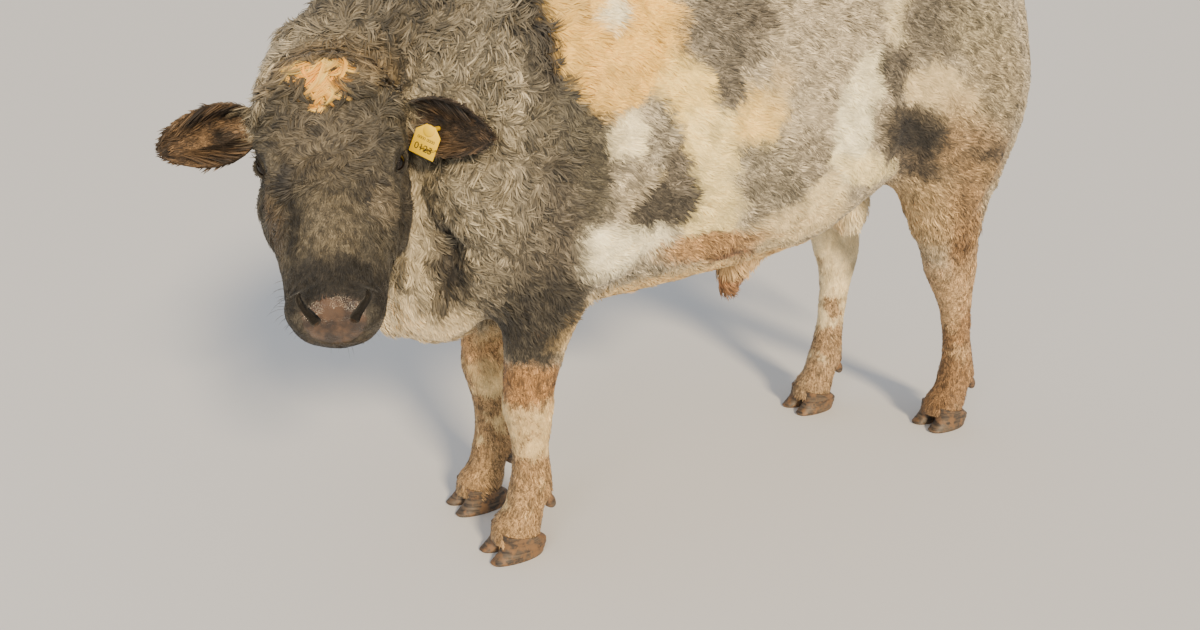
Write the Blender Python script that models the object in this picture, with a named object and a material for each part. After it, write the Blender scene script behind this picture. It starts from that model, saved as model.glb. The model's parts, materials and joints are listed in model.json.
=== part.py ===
"""A life-size still model of a standing bull of a heavily muscled blue-roan beef breed.

Units are metres and +Z is up. The bull faces -Y and its left side is at +X. It is first laid out with
the near forefoot at Y = 0, and every solid is then moved so that the middle of the whole box, on the
floor, is the origin.
"""

import math
import random

import bmesh
import bpy
import numpy as np
from mathutils import Matrix, Vector
from mathutils.bvhtree import BVHTree

# Driving sizes

GAP = 0.0003                 # space left between two solids that meet
HAIR_GAP = 0.0002            # space left between the hair of the poll and the solids round it
LONGEST_PUSH = 4.0           # most that a corner moves when faces are pushed out, in such distances
VOXEL = 0.009                # grid that fuses the masses of the body
BODY_TRIANGLES = 4450        # faces kept on the whole fused body
HEAD_REACH = 0.36            # round the head's middle, the faces are kept finer
HEAD_FINENESS = 2.3
TRUNK_ROUNDS = 60            # smoothing of the trunk
HEAD_ROUNDS = 5              # further smoothing of the head
RING_POINTS = 28

POLL = Vector((0.115, -0.388, 1.165))
HEAD_TURN = math.radians(71.0)
HEAD_DROP = math.radians(38.0)

EYE_RADIUS = 0.0225
EYE_PLACE = (0.1085, -0.182, -0.046)      # left eye, in the head's own frame
EYE_OUTWARD = (0.80, -0.42, 0.42)
EYE_FORWARD = (-0.28, -0.92, -0.10)
EAR_LENGTH = 0.185
EAR_WIDTH = 0.106
EAR_ROOT = (0.128, -0.082, -0.040)

FOOT_HEIGHT = 0.082          # coronet at the toe
HEEL_HEIGHT = 0.048
CLAW_WIDTH = 0.058
CLAW_LENGTH = 0.138
CLAW_SPLIT = 0.007           # space between the two claws of a foot

# Torso: distance behind the near forefoot, top, bottom, half width, height of the widest line
TORSO = (
    (-0.26, 1.24, 0.70, 0.13, 0.98),
    (-0.18, 1.37, 0.60, 0.24, 0.97),
    (-0.03, 1.45, 0.580, 0.31, 0.98),
    (0.15, 1.46, 0.585, 0.335, 1.00),
    (0.45, 1.43, 0.605, 0.35, 0.97),
    (0.75, 1.43, 0.635, 0.365, 0.95),
    (0.98, 1.45, 0.745, 0.335, 1.03),
    (1.20, 1.46, 0.83, 0.32, 1.10),
    (1.38, 1.43, 0.84, 0.27, 1.06),
    (1.50, 1.36, 0.86, 0.19, 1.06),
    (1.57, 1.24, 0.92, 0.09, 1.06),
)

# Neck: centre, half width, reach up, reach down, along a line that bends to the left
NECK = (
    ((0.000, 0.16, 1.06), 0.30, 0.40, 0.38),
    ((-0.004, -0.03, 1.06), 0.283, 0.375, 0.39),
    ((-0.022, -0.17, 1.095), 0.250, 0.300, 0.41),
    ((-0.038, -0.275, 1.110), 0.208, 0.225, 0.37),
    ((-0.008, -0.360, 1.095), 0.168, 0.172, 0.29),
    ((0.060, -0.392, 1.060), 0.132, 0.136, 0.19),
)

# Muscle masses on both sides: centre, radii
PAIRED_MASSES = (
    ((0.225, 0.05, 1.10), (0.125, 0.21, 0.27)),
    ((0.245, 0.13, 0.86), (0.105, 0.16, 0.18)),
    ((0.185, -0.10, 0.93), (0.115, 0.14, 0.15)),
    ((0.195, 1.11, 1.26), (0.150, 0.25, 0.18)),
    ((0.205, 1.22, 1.00), (0.148, 0.235, 0.31)),
    ((0.125, 1.415, 1.00), (0.125, 0.140, 0.26)),
    ((0.235, 1.03, 0.93), (0.090, 0.13, 0.115)),
    ((0.100, 0.80, 1.375), (0.115, 0.44, 0.085)),
    ((0.150, 0.20, 1.33), (0.120, 0.20, 0.11)),
)

# Single masses on the middle line: centre, radii
MIDDLE_MASSES = (
    ((0.0, -0.17, 0.710), (0.165, 0.150, 0.172)),
    ((0.0, -0.26, 0.77), (0.080, 0.085, 0.21)),
    ((0.0, 0.10, 1.36), (0.13, 0.24, 0.11)),
    ((0.0, 0.55, 0.93), (0.375, 0.42, 0.315)),
    ((0.0, 0.98, 0.90), (0.20, 0.22, 0.16)),
)

# Creases between muscles on both sides, seen from the side: line of points (distance behind the near
# forefoot, height), half width, depth; a negative depth is a ridge
CREASES = (
    (((0.035, 1.42), (0.005, 1.25), (-0.02, 1.10), (-0.05, 0.96)), 0.036, 0.014),
    (((0.25, 1.30), (0.285, 1.14), (0.270, 0.96), (0.225, 0.80), (0.17, 0.71)), 0.055, 0.017),
    (((0.20, 1.12), (0.11, 0.98), (0.065, 0.86)), 0.034, 0.008),
    (((0.995, 0.845), (0.945, 0.98), (0.915, 1.12), (0.92, 1.22)), 0.055, 0.018),
    (((1.06, 1.30), (1.125, 1.08), (1.10, 0.88)), 0.042, 0.009),
    (((1.375, 1.28), (1.385, 1.06), (1.345, 0.86), (1.30, 0.73)), 0.040, 0.017),
    (((0.35, 1.285), (0.65, 1.265), (0.93, 1.285)), 0.040, 0.008),
    (((0.965, 1.335), (1.01, 1.345)), 0.050, -0.014),
)
CREASE_START = 0.09          # distance from the middle plane where the creases begin to show
CREASE_FADE = 0.06

# Legs: height, place across, place behind the near forefoot, half width, half depth
LEFT_FORE = (
    (0.98, 0.235, 0.02, 0.095, 0.150),
    (0.82, 0.215, 0.055, 0.098, 0.150),
    (0.71, 0.185, 0.045, 0.092, 0.128),
    (0.61, 0.160, 0.025, 0.076, 0.098),
    (0.51, 0.145, 0.010, 0.061, 0.072),
    (0.43, 0.136, 0.000, 0.056, 0.062),
    (0.385, 0.132, -0.003, 0.063, 0.064),
    (0.34, 0.129, 0.001, 0.054, 0.055),
    (0.27, 0.125, 0.005, 0.043, 0.046),
    (0.205, 0.122, 0.007, 0.046, 0.050),
    (0.155, 0.121, 0.004, 0.056, 0.058),
    (0.115, 0.121, -0.014, 0.050, 0.051),
    (0.080, 0.121, -0.034, 0.060, 0.064),
    (0.030, 0.121, -0.045, 0.058, 0.062),
)
RIGHT_FORE_SHIFT = (0.0, 0.010)

LEFT_HIND = (
    (1.00, 0.205, 1.22, 0.130, 0.225),
    (0.86, 0.215, 1.215, 0.125, 0.200),
    (0.76, 0.212, 1.225, 0.105, 0.165),
    (0.67, 0.202, 1.240, 0.080, 0.132),
    (0.59, 0.192, 1.283, 0.058, 0.108),
    (0.52, 0.185, 1.308, 0.055, 0.096),
    (0.46, 0.178, 1.335, 0.049, 0.073),
    (0.38, 0.172, 1.368, 0.040, 0.052),
    (0.28, 0.167, 1.398, 0.038, 0.047),
    (0.205, 0.164, 1.418, 0.045, 0.050),
    (0.155, 0.163, 1.425, 0.054, 0.057),
    (0.115, 0.163, 1.409, 0.049, 0.051),
    (0.080, 0.163, 1.389, 0.058, 0.063),
    (0.030, 0.163, 1.378, 0.056, 0.061),
)

RIGHT_HIND = (
    (1.00, -0.205, 1.22, 0.130, 0.225),
    (0.86, -0.210, 1.165, 0.125, 0.200),
    (0.76, -0.200, 1.145, 0.105, 0.165),
    (0.67, -0.185, 1.155, 0.080, 0.128),
    (0.59, -0.168, 1.182, 0.058, 0.100),
    (0.52, -0.155, 1.190, 0.055, 0.090),
    (0.46, -0.145, 1.192, 0.049, 0.069),
    (0.38, -0.138, 1.184, 0.040, 0.052),
    (0.28, -0.132, 1.172, 0.038, 0.047),
    (0.205, -0.128, 1.164, 0.045, 0.050),
    (0.155, -0.127, 1.157, 0.054, 0.057),
    (0.115, -0.127, 1.140, 0.049, 0.051),
    (0.080, -0.127, 1.119, 0.058, 0.063),
    (0.030, -0.127, 1.108, 0.056, 0.061),
)

# Head, in its own frame: distance from the poll towards the nose, half width, top, bottom, widest line
HEAD = (
    (-0.045, 0.060, -0.030, -0.120, -0.07),
    (-0.01, 0.108, 0.004, -0.165, -0.06),
    (0.05, 0.136, 0.016, -0.205, -0.055),
    (0.12, 0.138, 0.014, -0.228, -0.065),
    (0.19, 0.128, 0.002, -0.234, -0.075),
    (0.25, 0.119, -0.008, -0.222, -0.090),
    (0.31, 0.110, -0.014, -0.200, -0.098),
    (0.37, 0.099, -0.018, -0.180, -0.095),
    (0.42, 0.091, -0.022, -0.166, -0.090),
    (0.46, 0.087, -0.027, -0.159, -0.088),
    (0.495, 0.081, -0.038, -0.152, -0.09),
    (0.515, 0.067, -0.052, -0.142, -0.09),
    (0.527, 0.043, -0.068, -0.122, -0.09),
)

# Masses on both sides of the head, in its own frame: centre, radii
HEAD_PAIRS = (
    ((0.096, -0.168, -0.026), (0.043, 0.056, 0.032)),
    ((0.084, -0.200, -0.138), (0.056, 0.120, 0.090)),
    ((0.085, -0.060, -0.035), (0.065, 0.060, 0.050)),
    ((0.050, -0.482, -0.062), (0.038, 0.044, 0.036)),
    ((0.046, -0.440, -0.110), (0.040, 0.060, 0.034)),
    ((0.062, -0.300, -0.085), (0.030, 0.090, 0.040)),
)
HEAD_MIDDLE = (
    ((0.0, -0.012, -0.006), (0.112, 0.066, 0.050)),
    ((0.0, -0.320, -0.034), (0.056, 0.190, 0.028)),
    ((0.0, -0.500, -0.100), (0.072, 0.034, 0.030)),
    ((0.0, -0.462, -0.145), (0.056, 0.052, 0.026)),
)

# Eyelids: rise of the lid's edge over the eye's middle in degrees, thickness
LIDS = ((33.0, 0.0056), (-27.0, 0.0046))
LID_SPAN = 54.0
LID_LIFT = 0.0024

# Hollows of one nostril: along, across, height, radii
NOSTRIL = (
    (0.508, 0.034, -0.054, (0.011, 0.020, 0.011)),
    (0.494, 0.047, -0.043, (0.009, 0.018, 0.009)),
    (0.478, 0.058, -0.034, (0.006, 0.014, 0.007)),
)
MOUTH_FRONT = 0.527
MOUTH_LENGTH = 0.105
MOUTH_HALF = 0.074
MOUTH_LEVEL = -0.124

EAR_ALONG = (0.84, -0.42, 0.14)
EAR_OPENING = (-0.12, -0.72, 0.60)
EAR_THICK = 0.009
EAR_WIDEST = 0.42            # share of the length
EAR_BASE = 0.44              # width at the root, as a share of the widest

TAG_WIDTH = 0.052
TAG_HEIGHT = 0.062
TAG_THICK = 0.0022
TAG_PLACE = (0.063, -0.022, 0.010)
TAG_TURN = math.radians(-13.0)

KNEE_CUT = 0.445
HOCK_CUT = 0.585
CLAW_TOE = 0.076
CLAW_HEEL = CLAW_LENGTH - CLAW_TOE
DEWCLAW_HEIGHT = 0.128
DEWCLAW_BEHIND = 0.085
DEWCLAW_ASIDE = 0.024
DEWCLAW_TILT = math.radians(32.0)
DEWCLAW_RINGS = (            # along the claw from its middle, half width, half depth
    (-0.022, 0.006, 0.007),
    (-0.012, 0.0125, 0.0145),
    (0.006, 0.0135, 0.0155),
    (0.020, 0.0095, 0.0100),
    (0.026, 0.0040, 0.0045),
)

# Tail, its brush, scrotum and sheath: point, half width, half depth
TAIL = (
    ((0.000, 1.36, 1.405), 0.050, 0.036),
    ((0.000, 1.45, 1.400), 0.044, 0.034),
    ((0.000, 1.525, 1.365), 0.037, 0.030),
    ((0.000, 1.575, 1.290), 0.031, 0.027),
    ((-0.002, 1.602, 1.190), 0.027, 0.025),
    ((-0.008, 1.614, 1.080), 0.025, 0.023),
    ((-0.018, 1.612, 0.960), 0.023, 0.022),
    ((-0.034, 1.598, 0.840), 0.022, 0.021),
    ((-0.052, 1.578, 0.740), 0.021, 0.020),
)
SWITCH = (
    ((-0.052, 1.578, 0.738), 0.024, 0.022),
    ((-0.055, 1.573, 0.690), 0.034, 0.030),
    ((-0.060, 1.567, 0.620), 0.043, 0.038),
    ((-0.065, 1.562, 0.540), 0.045, 0.040),
    ((-0.068, 1.558, 0.460), 0.038, 0.033),
    ((-0.070, 1.556, 0.385), 0.020, 0.018),
    ((-0.071, 1.555, 0.335), 0.005, 0.005),
)
SCROTUM = (
    ((0.000, 1.078, 0.860), 0.040, 0.040),
    ((0.000, 1.078, 0.800), 0.038, 0.036),
    ((0.000, 1.076, 0.755), 0.047, 0.042),
    ((0.000, 1.074, 0.710), 0.058, 0.050),
    ((0.000, 1.072, 0.665), 0.058, 0.051),
    ((0.000, 1.070, 0.630), 0.044, 0.040),
    ((0.000, 1.068, 0.613), 0.018, 0.017),
)
SHEATH = (
    ((0.000, 1.000, 0.775), 0.020, 0.025),
    ((0.000, 0.920, 0.735), 0.026, 0.045),
    ((0.000, 0.830, 0.690), 0.030, 0.052),
    ((0.000, 0.750, 0.650), 0.034, 0.060),
    ((0.000, 0.698, 0.605), 0.035, 0.056),
    ((0.000, 0.672, 0.555), 0.028, 0.040),
    ((0.000, 0.660, 0.518), 0.016, 0.022),
    ((0.000, 0.657, 0.503), 0.008, 0.011),
)

# Curly hair on the poll: distance in front of the poll, half of the row's width, locks, length, lift
POLL_ROWS = (
    (0.004, 0.076, 8, 0.078, 0.019),
    (0.036, 0.090, 8, 0.082, 0.016),
    (0.070, 0.078, 6, 0.080, 0.012),
    (0.102, 0.044, 3, 0.074, 0.010),
)
LOCK_WIDTH = 0.027
LOCK_THICK = 0.009
LOCK_SPREAD = 0.75           # sideways part of the lie at the ends of a row
LOCK_DEPTH = 0.007           # root under the surface
LOCK_SHAPE = (               # share of the length, of the lift, of the width
    (0.00, 0.0, 0.80),
    (0.25, 0.7, 1.00),
    (0.52, 1.0, 0.92),
    (0.78, 0.85, 0.58),
    (1.00, 0.6, 0.12),
)
POLL_SEED = 24
HAIR_SOLVERS = ("MANIFOLD", "EXACT")
SWITCH_LOCKS = 13
SWITCH_CORE = 0.56           # share of the brush's radius that its core fills
EAR_LOCKS = (                # along the ear, across it, length, sideways drift
    (0.12, -0.78, 0.056, 0.08),
    (0.30, -0.86, 0.054, 0.05),
    (0.46, -0.84, 0.046, 0.06),
    (0.12, 0.76, 0.056, -0.08),
    (0.29, 0.86, 0.054, -0.05),
    (0.10, 0.02, 0.062, 0.05),
)

EAR_LOCK_SHAPE = (           # share of the length, depth behind the inner face, share of the width
    (0.00, 0.0022, 0.80),
    (0.25, -0.004, 1.00),
    (0.60, -0.010, 0.80),
    (1.00, -0.013, 0.15),
)

# Linear colour and roughness of each finish
COLOURS = {
    "roan": ((0.20, 0.20, 0.20), 0.85),
    "cream": ((0.60, 0.50, 0.38), 0.85),
    "pale skin": ((0.58, 0.45, 0.38), 0.7),
    "horn": ((0.10, 0.08, 0.06), 0.45),
    "eye": ((0.01, 0.008, 0.006), 0.08),
    "tag": ((0.75, 0.55, 0.02), 0.4),
}

HANDS = ((1.0, "left"), (-1.0, "right"))
SIDE_VIEW = Matrix(((0, 0, 1, 0), (1, 0, 0, 0), (0, 1, 0, 0), (0, 0, 0, 1)))
FRONT_VIEW = Matrix(((1, 0, 0, 0), (0, 0, -1, 0), (0, 1, 0, 0), (0, 0, 0, 1)))

# Blocks that part the body: corners of their outline, seen from the left side or from the front
HEAD_CUT = ((0.022, 0.10), (-0.60, 0.10), (-0.60, -0.40), (-0.30, -0.36))    # in the head's own frame
NECK_CUT = ((0.01, 1.60), (-1.0, 1.60), (-1.0, 0.50), (-0.27, 0.50))
LEG_CUTS = (                 # outline, then how far the block reaches from back to front
    ("foreleg", ((0.012, 0.555), (0.012, -0.1), (0.60, -0.1), (0.60, 0.93)), (-0.30, 0.16)),
    ("hindleg", ((0.014, 0.640), (0.014, -0.1), (0.60, -0.1), (0.60, 1.06)), (-1.90, -0.97)),
)


# Making and joining meshes

def clear_scene():
    for obj in list(bpy.data.objects):
        bpy.data.objects.remove(obj, do_unlink=True)


def paint(name, colour, roughness):
    """Make a material with a plain Principled surface."""
    material = bpy.data.materials.new(name)
    material.use_nodes = True
    shader = material.node_tree.nodes["Principled BSDF"]
    shader.inputs["Base Color"].default_value = (*colour, 1.0)
    shader.inputs["Roughness"].default_value = roughness
    shader.inputs["Metallic"].default_value = 0.0
    return material


def add_object(name, bm):
    """Turn a bmesh into a scene object whose faces point outwards."""
    bmesh.ops.recalc_face_normals(bm, faces=bm.faces)
    mesh = bpy.data.meshes.new(name)
    bm.to_mesh(mesh)
    bm.free()
    obj = bpy.data.objects.new(name, mesh)
    bpy.context.scene.collection.objects.link(obj)
    return obj


def remove(obj):
    bpy.data.objects.remove(obj, do_unlink=True)


def bake(obj):
    """Replace an object's mesh by what its modifiers make of it."""
    graph = bpy.context.evaluated_depsgraph_get()
    mesh = bpy.data.meshes.new_from_object(obj.evaluated_get(graph))
    obj.modifiers.clear()
    obj.data = mesh
    return obj


def ellipsoid(bm, centre, radii, detail=3, turn=None):
    shape = Matrix.Translation(centre)
    if turn is not None:
        shape = shape @ turn.to_4x4()
    shape = shape @ Matrix.Diagonal((*radii, 1.0))
    bmesh.ops.create_icosphere(bm, subdivisions=detail, radius=1.0, matrix=shape)


def ring(centre, side, lift, across, up, down, round_up=2.3, round_down=2.3, count=RING_POINTS):
    """Points of a closed, egg-like section; a higher rounding number makes it squarer."""
    points = []
    for step in range(count):
        angle = 2.0 * math.pi * (step + 0.5) / count
        cosine = math.cos(angle)
        sine = math.sin(angle)
        power = 2.0 / (round_up if sine > 0 else round_down)
        wide = math.copysign(abs(cosine) ** power, cosine) * across
        high = math.copysign(abs(sine) ** power, sine) * (up if sine > 0 else down)
        points.append(Vector(centre) + side * wide + lift * high)
    return points


def loft(bm, rings, turned_from=None):
    """Skin a row of rings with triangles and close both ends with a fan.

    On a thin shell, the steps from turned_from onwards lie behind the others, and their faces are
    split the other way round, so that both sides of the shell fold alike.
    """
    rows = [[bm.verts.new(point) for point in points] for points in rings]
    count = len(rows[0])
    for first, second in zip(rows, rows[1:]):
        for step in range(count):
            after = (step + 1) % count
            if turned_from is not None and step >= turned_from:
                bm.faces.new((first[step], first[after], second[step]))
                bm.faces.new((first[after], second[after], second[step]))
            else:
                bm.faces.new((first[step], first[after], second[after]))
                bm.faces.new((first[step], second[after], second[step]))
    for row in (rows[0], rows[-1]):
        middle = sum((vert.co for vert in row), Vector()) / count
        hub = bm.verts.new(middle)
        for step in range(count):
            bm.faces.new((row[step], row[(step + 1) % count], hub))


def join_by_boolean(obj, others, operation, solvers=("EXACT", "MANIFOLD")):
    """Apply one Boolean between an object and a collection of closed meshes, which are then removed.

    The second solver is used where the first leaves the result open.
    """
    group = bpy.data.collections.new("operands")
    bpy.context.scene.collection.children.link(group)
    for other in others:
        group.objects.link(other)
    before = obj.data
    for solver in solvers:
        obj.data = before.copy()
        modifier = obj.modifiers.new("join", "BOOLEAN")
        modifier.operation = operation
        modifier.operand_type = "COLLECTION"
        modifier.collection = group
        modifier.solver = solver
        bake(obj)
        if keep_largest(obj):
            break
    for other in others:
        remove(other)
    bpy.data.collections.remove(group)
    return obj


def islands_of(bm):
    """The sets of vertices that hang together, each with the volume that it closes."""
    left = set(bm.verts)
    islands = []
    while left:
        stack = [left.pop()]
        island = set(stack)
        while stack:
            for edge in stack.pop().link_edges:
                for vert in edge.verts:
                    if vert not in island:
                        island.add(vert)
                        stack.append(vert)
        left -= island
        faces = {face for vert in island for face in vert.link_faces}
        volume = sum(f.verts[0].co.dot(f.verts[1].co.cross(f.verts[2].co)) for f in faces) / 6.0
        islands.append((abs(volume), island))
    return sorted(islands, key=lambda item: item[0])


def keep_largest(obj):
    """Keep the closed surface with the most volume, drop other scraps, and say whether it is closed."""
    bm = bmesh.new()
    bm.from_mesh(obj.data)
    bmesh.ops.triangulate(bm, faces=bm.faces)
    scraps = [vert for _, island in islands_of(bm)[:-1] for vert in island]
    bmesh.ops.delete(bm, geom=scraps, context="VERTS")
    closed = len(bm.faces) > 0 and all(edge.is_manifold for edge in bm.edges)
    put_in_order(obj, bm)
    bm.free()
    return closed


def put_in_order(obj, bm):
    """Give an object the faces of a bmesh in an order set by their places alone, alike in every run."""
    verts = sorted(bm.verts, key=lambda vert: tuple(round(value, 7) for value in vert.co))
    place = {vert: step for step, vert in enumerate(verts)}
    faces = []
    for face in bm.faces:
        corners = [place[vert] for vert in face.verts]
        first = corners.index(min(corners))
        faces.append(corners[first:] + corners[:first])
    mesh = bpy.data.meshes.new(obj.name)
    mesh.from_pydata([vert.co[:] for vert in verts], [], sorted(faces))
    obj.data = mesh


def soften(mesh, weights, rounds):
    """Move each vertex towards the middle of its neighbours, as far as its weight says."""
    points = np.empty(len(mesh.vertices) * 3, dtype=np.float32)
    mesh.vertices.foreach_get("co", points)
    points = points.reshape(-1, 3).astype(np.float64)
    edges = np.empty(len(mesh.edges) * 2, dtype=np.int32)
    mesh.edges.foreach_get("vertices", edges)
    tail, tip = edges.reshape(-1, 2).T
    size = len(points)
    links = np.bincount(tail, minlength=size) + np.bincount(tip, minlength=size)
    for _ in range(rounds):
        total = np.empty_like(points)
        for axis in range(3):
            column = points[:, axis]
            total[:, axis] = np.bincount(tail, column[tip], size) + np.bincount(tip, column[tail], size)
        points += (total / links[:, None] - points) * weights[:, None]
    mesh.vertices.foreach_set("co", points.astype(np.float32).ravel())
    mesh.update()


def thin_out(obj, triangles):
    """Reduce a mesh to about the number of triangles that is wanted."""
    modifier = obj.modifiers.new("thin", "DECIMATE")
    modifier.ratio = triangles / (2.0 * len(obj.data.polygons))
    modifier.use_collapse_triangulate = True
    keep_largest(bake(obj))
    return obj


def swollen_copy(obj, distance):
    """Copy a solid and push each of its faces out by a distance, to cut a neighbour clear of it."""
    copy = bpy.data.objects.new(obj.name + "_swollen", obj.data.copy())
    bpy.context.scene.collection.objects.link(copy)
    bm = bmesh.new()
    bm.from_mesh(copy.data)
    bm.normal_update()
    moves = []
    for vert in bm.verts:
        normals = [face.normal for face in vert.link_faces]
        move = vert.normal * distance
        for _ in range(12):
            for normal in normals:
                lack = distance - normal.dot(move)
                if lack > 0.0:
                    move = move + normal * lack
        if move.length > LONGEST_PUSH * distance:
            move = move.normalized() * LONGEST_PUSH * distance
        moves.append(move)
    for vert, move in zip(bm.verts, moves):
        vert.co += move
    bm.to_mesh(copy.data)
    bm.free()
    return copy


def seat(piece, hosts, gap=GAP):
    """Cut a piece so that it meets its hosts face to face."""
    return join_by_boolean(piece, [swollen_copy(host, gap) for host in hosts], "DIFFERENCE")


# Parting the body

def grown_outline(outline, distance):
    """Move each side of a convex outline, listed anticlockwise, outwards by a distance."""
    moved = []
    count = len(outline)
    for step in range(count):
        before = Vector(outline[step - 1])
        here = Vector(outline[step])
        after = Vector(outline[(step + 1) % count])
        first = (here - before).normalized()
        second = (after - here).normalized()
        normals = Vector((first.y, -first.x)) + Vector((second.y, -second.x))
        moved.append(here + normals * (distance / (1.0 + first.dot(second))))
    return moved


def prism(outline, frame, near, far, grow):
    """Make a block from a convex outline in a frame's XY plane, between two heights along its Z."""
    bm = bmesh.new()
    rows = []
    for height in (near - grow, far + grow):
        corners = [frame @ Vector((x, y, height)) for x, y in grown_outline(outline, grow)]
        rows.append([bm.verts.new(corner) for corner in corners])
    count = len(rows[0])
    for step in range(count):
        after = (step + 1) % count
        bm.faces.new((rows[0][step], rows[0][after], rows[1][after], rows[1][step]))
    bm.faces.new(rows[0])
    bm.faces.new(rows[1])
    return add_object("block", bm)


def part_off(obj, name, outline, frame, near, far, along_block=False):
    """Cut the part of a solid that lies in a block into an object of its own, with a thin cut between."""
    inside = bpy.data.objects.new(name, obj.data.copy())
    bpy.context.scene.collection.objects.link(inside)
    join_by_boolean(inside, [prism(outline, frame, near, far, 0.0)], "INTERSECT")
    rest = prism(outline, frame, near, far, GAP) if along_block else swollen_copy(inside, GAP)
    join_by_boolean(obj, [rest], "DIFFERENCE")
    return inside


# The body in one piece

def head_frame():
    turn = Matrix.Rotation(HEAD_TURN, 4, "Z") @ Matrix.Rotation(HEAD_DROP, 4, "X")
    return Matrix.Translation(POLL) @ turn


def torso_rings():
    side = Vector((1.0, 0.0, 0.0))
    lift = Vector((0.0, 0.0, 1.0))
    for place, top, bottom, half, widest in TORSO:
        centre = (0.0, place, widest)
        yield ring(centre, side, lift, half, top - widest, widest - bottom, 2.5, 2.2)


def neck_rings():
    centres = [Vector(row[0]) for row in NECK]
    lift = Vector((0.0, 0.0, 1.0))
    for step, (_, half, up, down) in enumerate(NECK):
        ahead = centres[min(step + 1, len(NECK) - 1)]
        behind = centres[max(step - 1, 0)]
        side = (behind - ahead).cross(lift).normalized()
        yield ring(centres[step], side, lift, half, up, down, 2.1, 1.75)


def leg_rings(stations, shift=(0.0, 0.0), mirror=1.0):
    side = Vector((1.0, 0.0, 0.0))
    back = Vector((0.0, 1.0, 0.0))
    for height, across, place, half, depth in stations:
        centre = (across * mirror + shift[0], place + shift[1], height)
        yield ring(centre, side, back, half, depth, depth, 2.3, 2.3)


def head_rings():
    side = Vector((1.0, 0.0, 0.0))
    lift = Vector((0.0, 0.0, 1.0))
    for distance, half, top, bottom, widest in HEAD:
        centre = (0.0, -distance, widest)
        yield ring(centre, side, lift, half, top - widest, widest - bottom, 2.6, 2.0)


def body_masses(bm):
    """Every mass of the torso, neck and legs, as closed shapes that run into each other."""
    loft(bm, list(torso_rings()))
    loft(bm, list(neck_rings()))
    loft(bm, list(leg_rings(LEFT_FORE)))
    loft(bm, list(leg_rings(LEFT_FORE, RIGHT_FORE_SHIFT, -1.0)))
    loft(bm, list(leg_rings(LEFT_HIND)))
    loft(bm, list(leg_rings(RIGHT_HIND)))
    for centre, radii in PAIRED_MASSES:
        for hand in (1.0, -1.0):
            ellipsoid(bm, (centre[0] * hand, centre[1], centre[2]), radii)
    for centre, radii in MIDDLE_MASSES:
        ellipsoid(bm, centre, radii)


def head_masses(bm):
    """Every mass of the head, in the head's own frame."""
    loft(bm, list(head_rings()))
    for centre, radii in HEAD_PAIRS:
        for hand in (1.0, -1.0):
            ellipsoid(bm, (centre[0] * hand, centre[1], centre[2]), radii)
    for centre, radii in HEAD_MIDDLE:
        ellipsoid(bm, centre, radii)


def head_middle():
    return np.array(head_frame() @ Vector((0.0, -0.25, -0.08)))


def magnify_head(mesh, back):
    """Swell the space round the head, or bring it back, so that thinning keeps the head finer."""
    middle = head_middle()
    points = np.array([vert.co[:] for vert in mesh.vertices]) - middle
    reach = np.linalg.norm(points, axis=1)
    plain = (0.0, HEAD_REACH, 1.0, 5.0)
    swollen = (0.0, HEAD_REACH * HEAD_FINENESS, 1.0, 5.0)
    if back:
        scale = np.interp(reach, swollen, plain) / reach
    else:
        scale = np.interp(reach, plain, swollen) / reach
    points = points * scale[:, None] + middle
    mesh.vertices.foreach_set("co", points.astype(np.float32).ravel())
    mesh.update()


def softness(mesh):
    """How far the smoothing may move each vertex: much on the trunk, little on the head and legs."""
    points = np.array([vert.co[:] for vert in mesh.vertices])
    from_head = np.linalg.norm(points - head_middle(), axis=1)
    trunk = np.clip((points[:, 2] - 0.50) / 0.20, 0.0, 1.0)
    clear = np.clip((from_head - 0.28) / 0.15, 0.0, 1.0)
    return trunk * clear


def on_head(mesh):
    """1 on the head, fading to 0 on the neck."""
    points = np.array([vert.co[:] for vert in mesh.vertices])
    from_head = np.linalg.norm(points - head_middle(), axis=1)
    return np.clip((0.34 - from_head) / 0.06, 0.0, 1.0)


def distance_to_line(points, line):
    """Distance of each point of a plane from a line of straight pieces."""
    nearest = np.full(len(points), 1e9)
    for first, second in zip(line, line[1:]):
        start = np.array(first)
        run = np.array(second) - start
        share = np.clip((points - start) @ run / (run @ run), 0.0, 1.0)
        nearest = np.minimum(nearest, np.linalg.norm(points - start - share[:, None] * run, axis=1))
    return nearest


def carve_creases(mesh):
    """Press the creases between the muscles into both sides of the trunk."""
    points = np.array([vert.co[:] for vert in mesh.vertices])
    normals = np.array([vert.normal[:] for vert in mesh.vertices])
    depth = np.zeros(len(points))
    for line, width, deep in CREASES:
        depth += deep * np.exp(-(distance_to_line(points[:, 1:], line) / width) ** 2)
    depth *= np.clip((np.abs(points[:, 0]) - CREASE_START) / CREASE_FADE, 0.0, 1.0)
    points -= normals * depth[:, None]
    mesh.vertices.foreach_set("co", points.astype(np.float32).ravel())
    mesh.update()


def build_body():
    bm = bmesh.new()
    head_masses(bm)
    bmesh.ops.transform(bm, matrix=head_frame(), verts=bm.verts)
    body_masses(bm)
    body = add_object("torso", bm)
    remesh = body.modifiers.new("fuse", "REMESH")
    remesh.mode = "VOXEL"
    remesh.voxel_size = VOXEL
    bake(body)
    weights = softness(body.data)
    soften(body.data, 0.6 * weights, TRUNK_ROUNDS)
    soften(body.data, np.full(len(weights), 0.5), 4)
    soften(body.data, 0.5 * on_head(body.data), HEAD_ROUNDS)
    carve_creases(body.data)
    magnify_head(body.data, False)
    thin_out(body, BODY_TRIANGLES)
    magnify_head(body.data, True)
    return body


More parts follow.
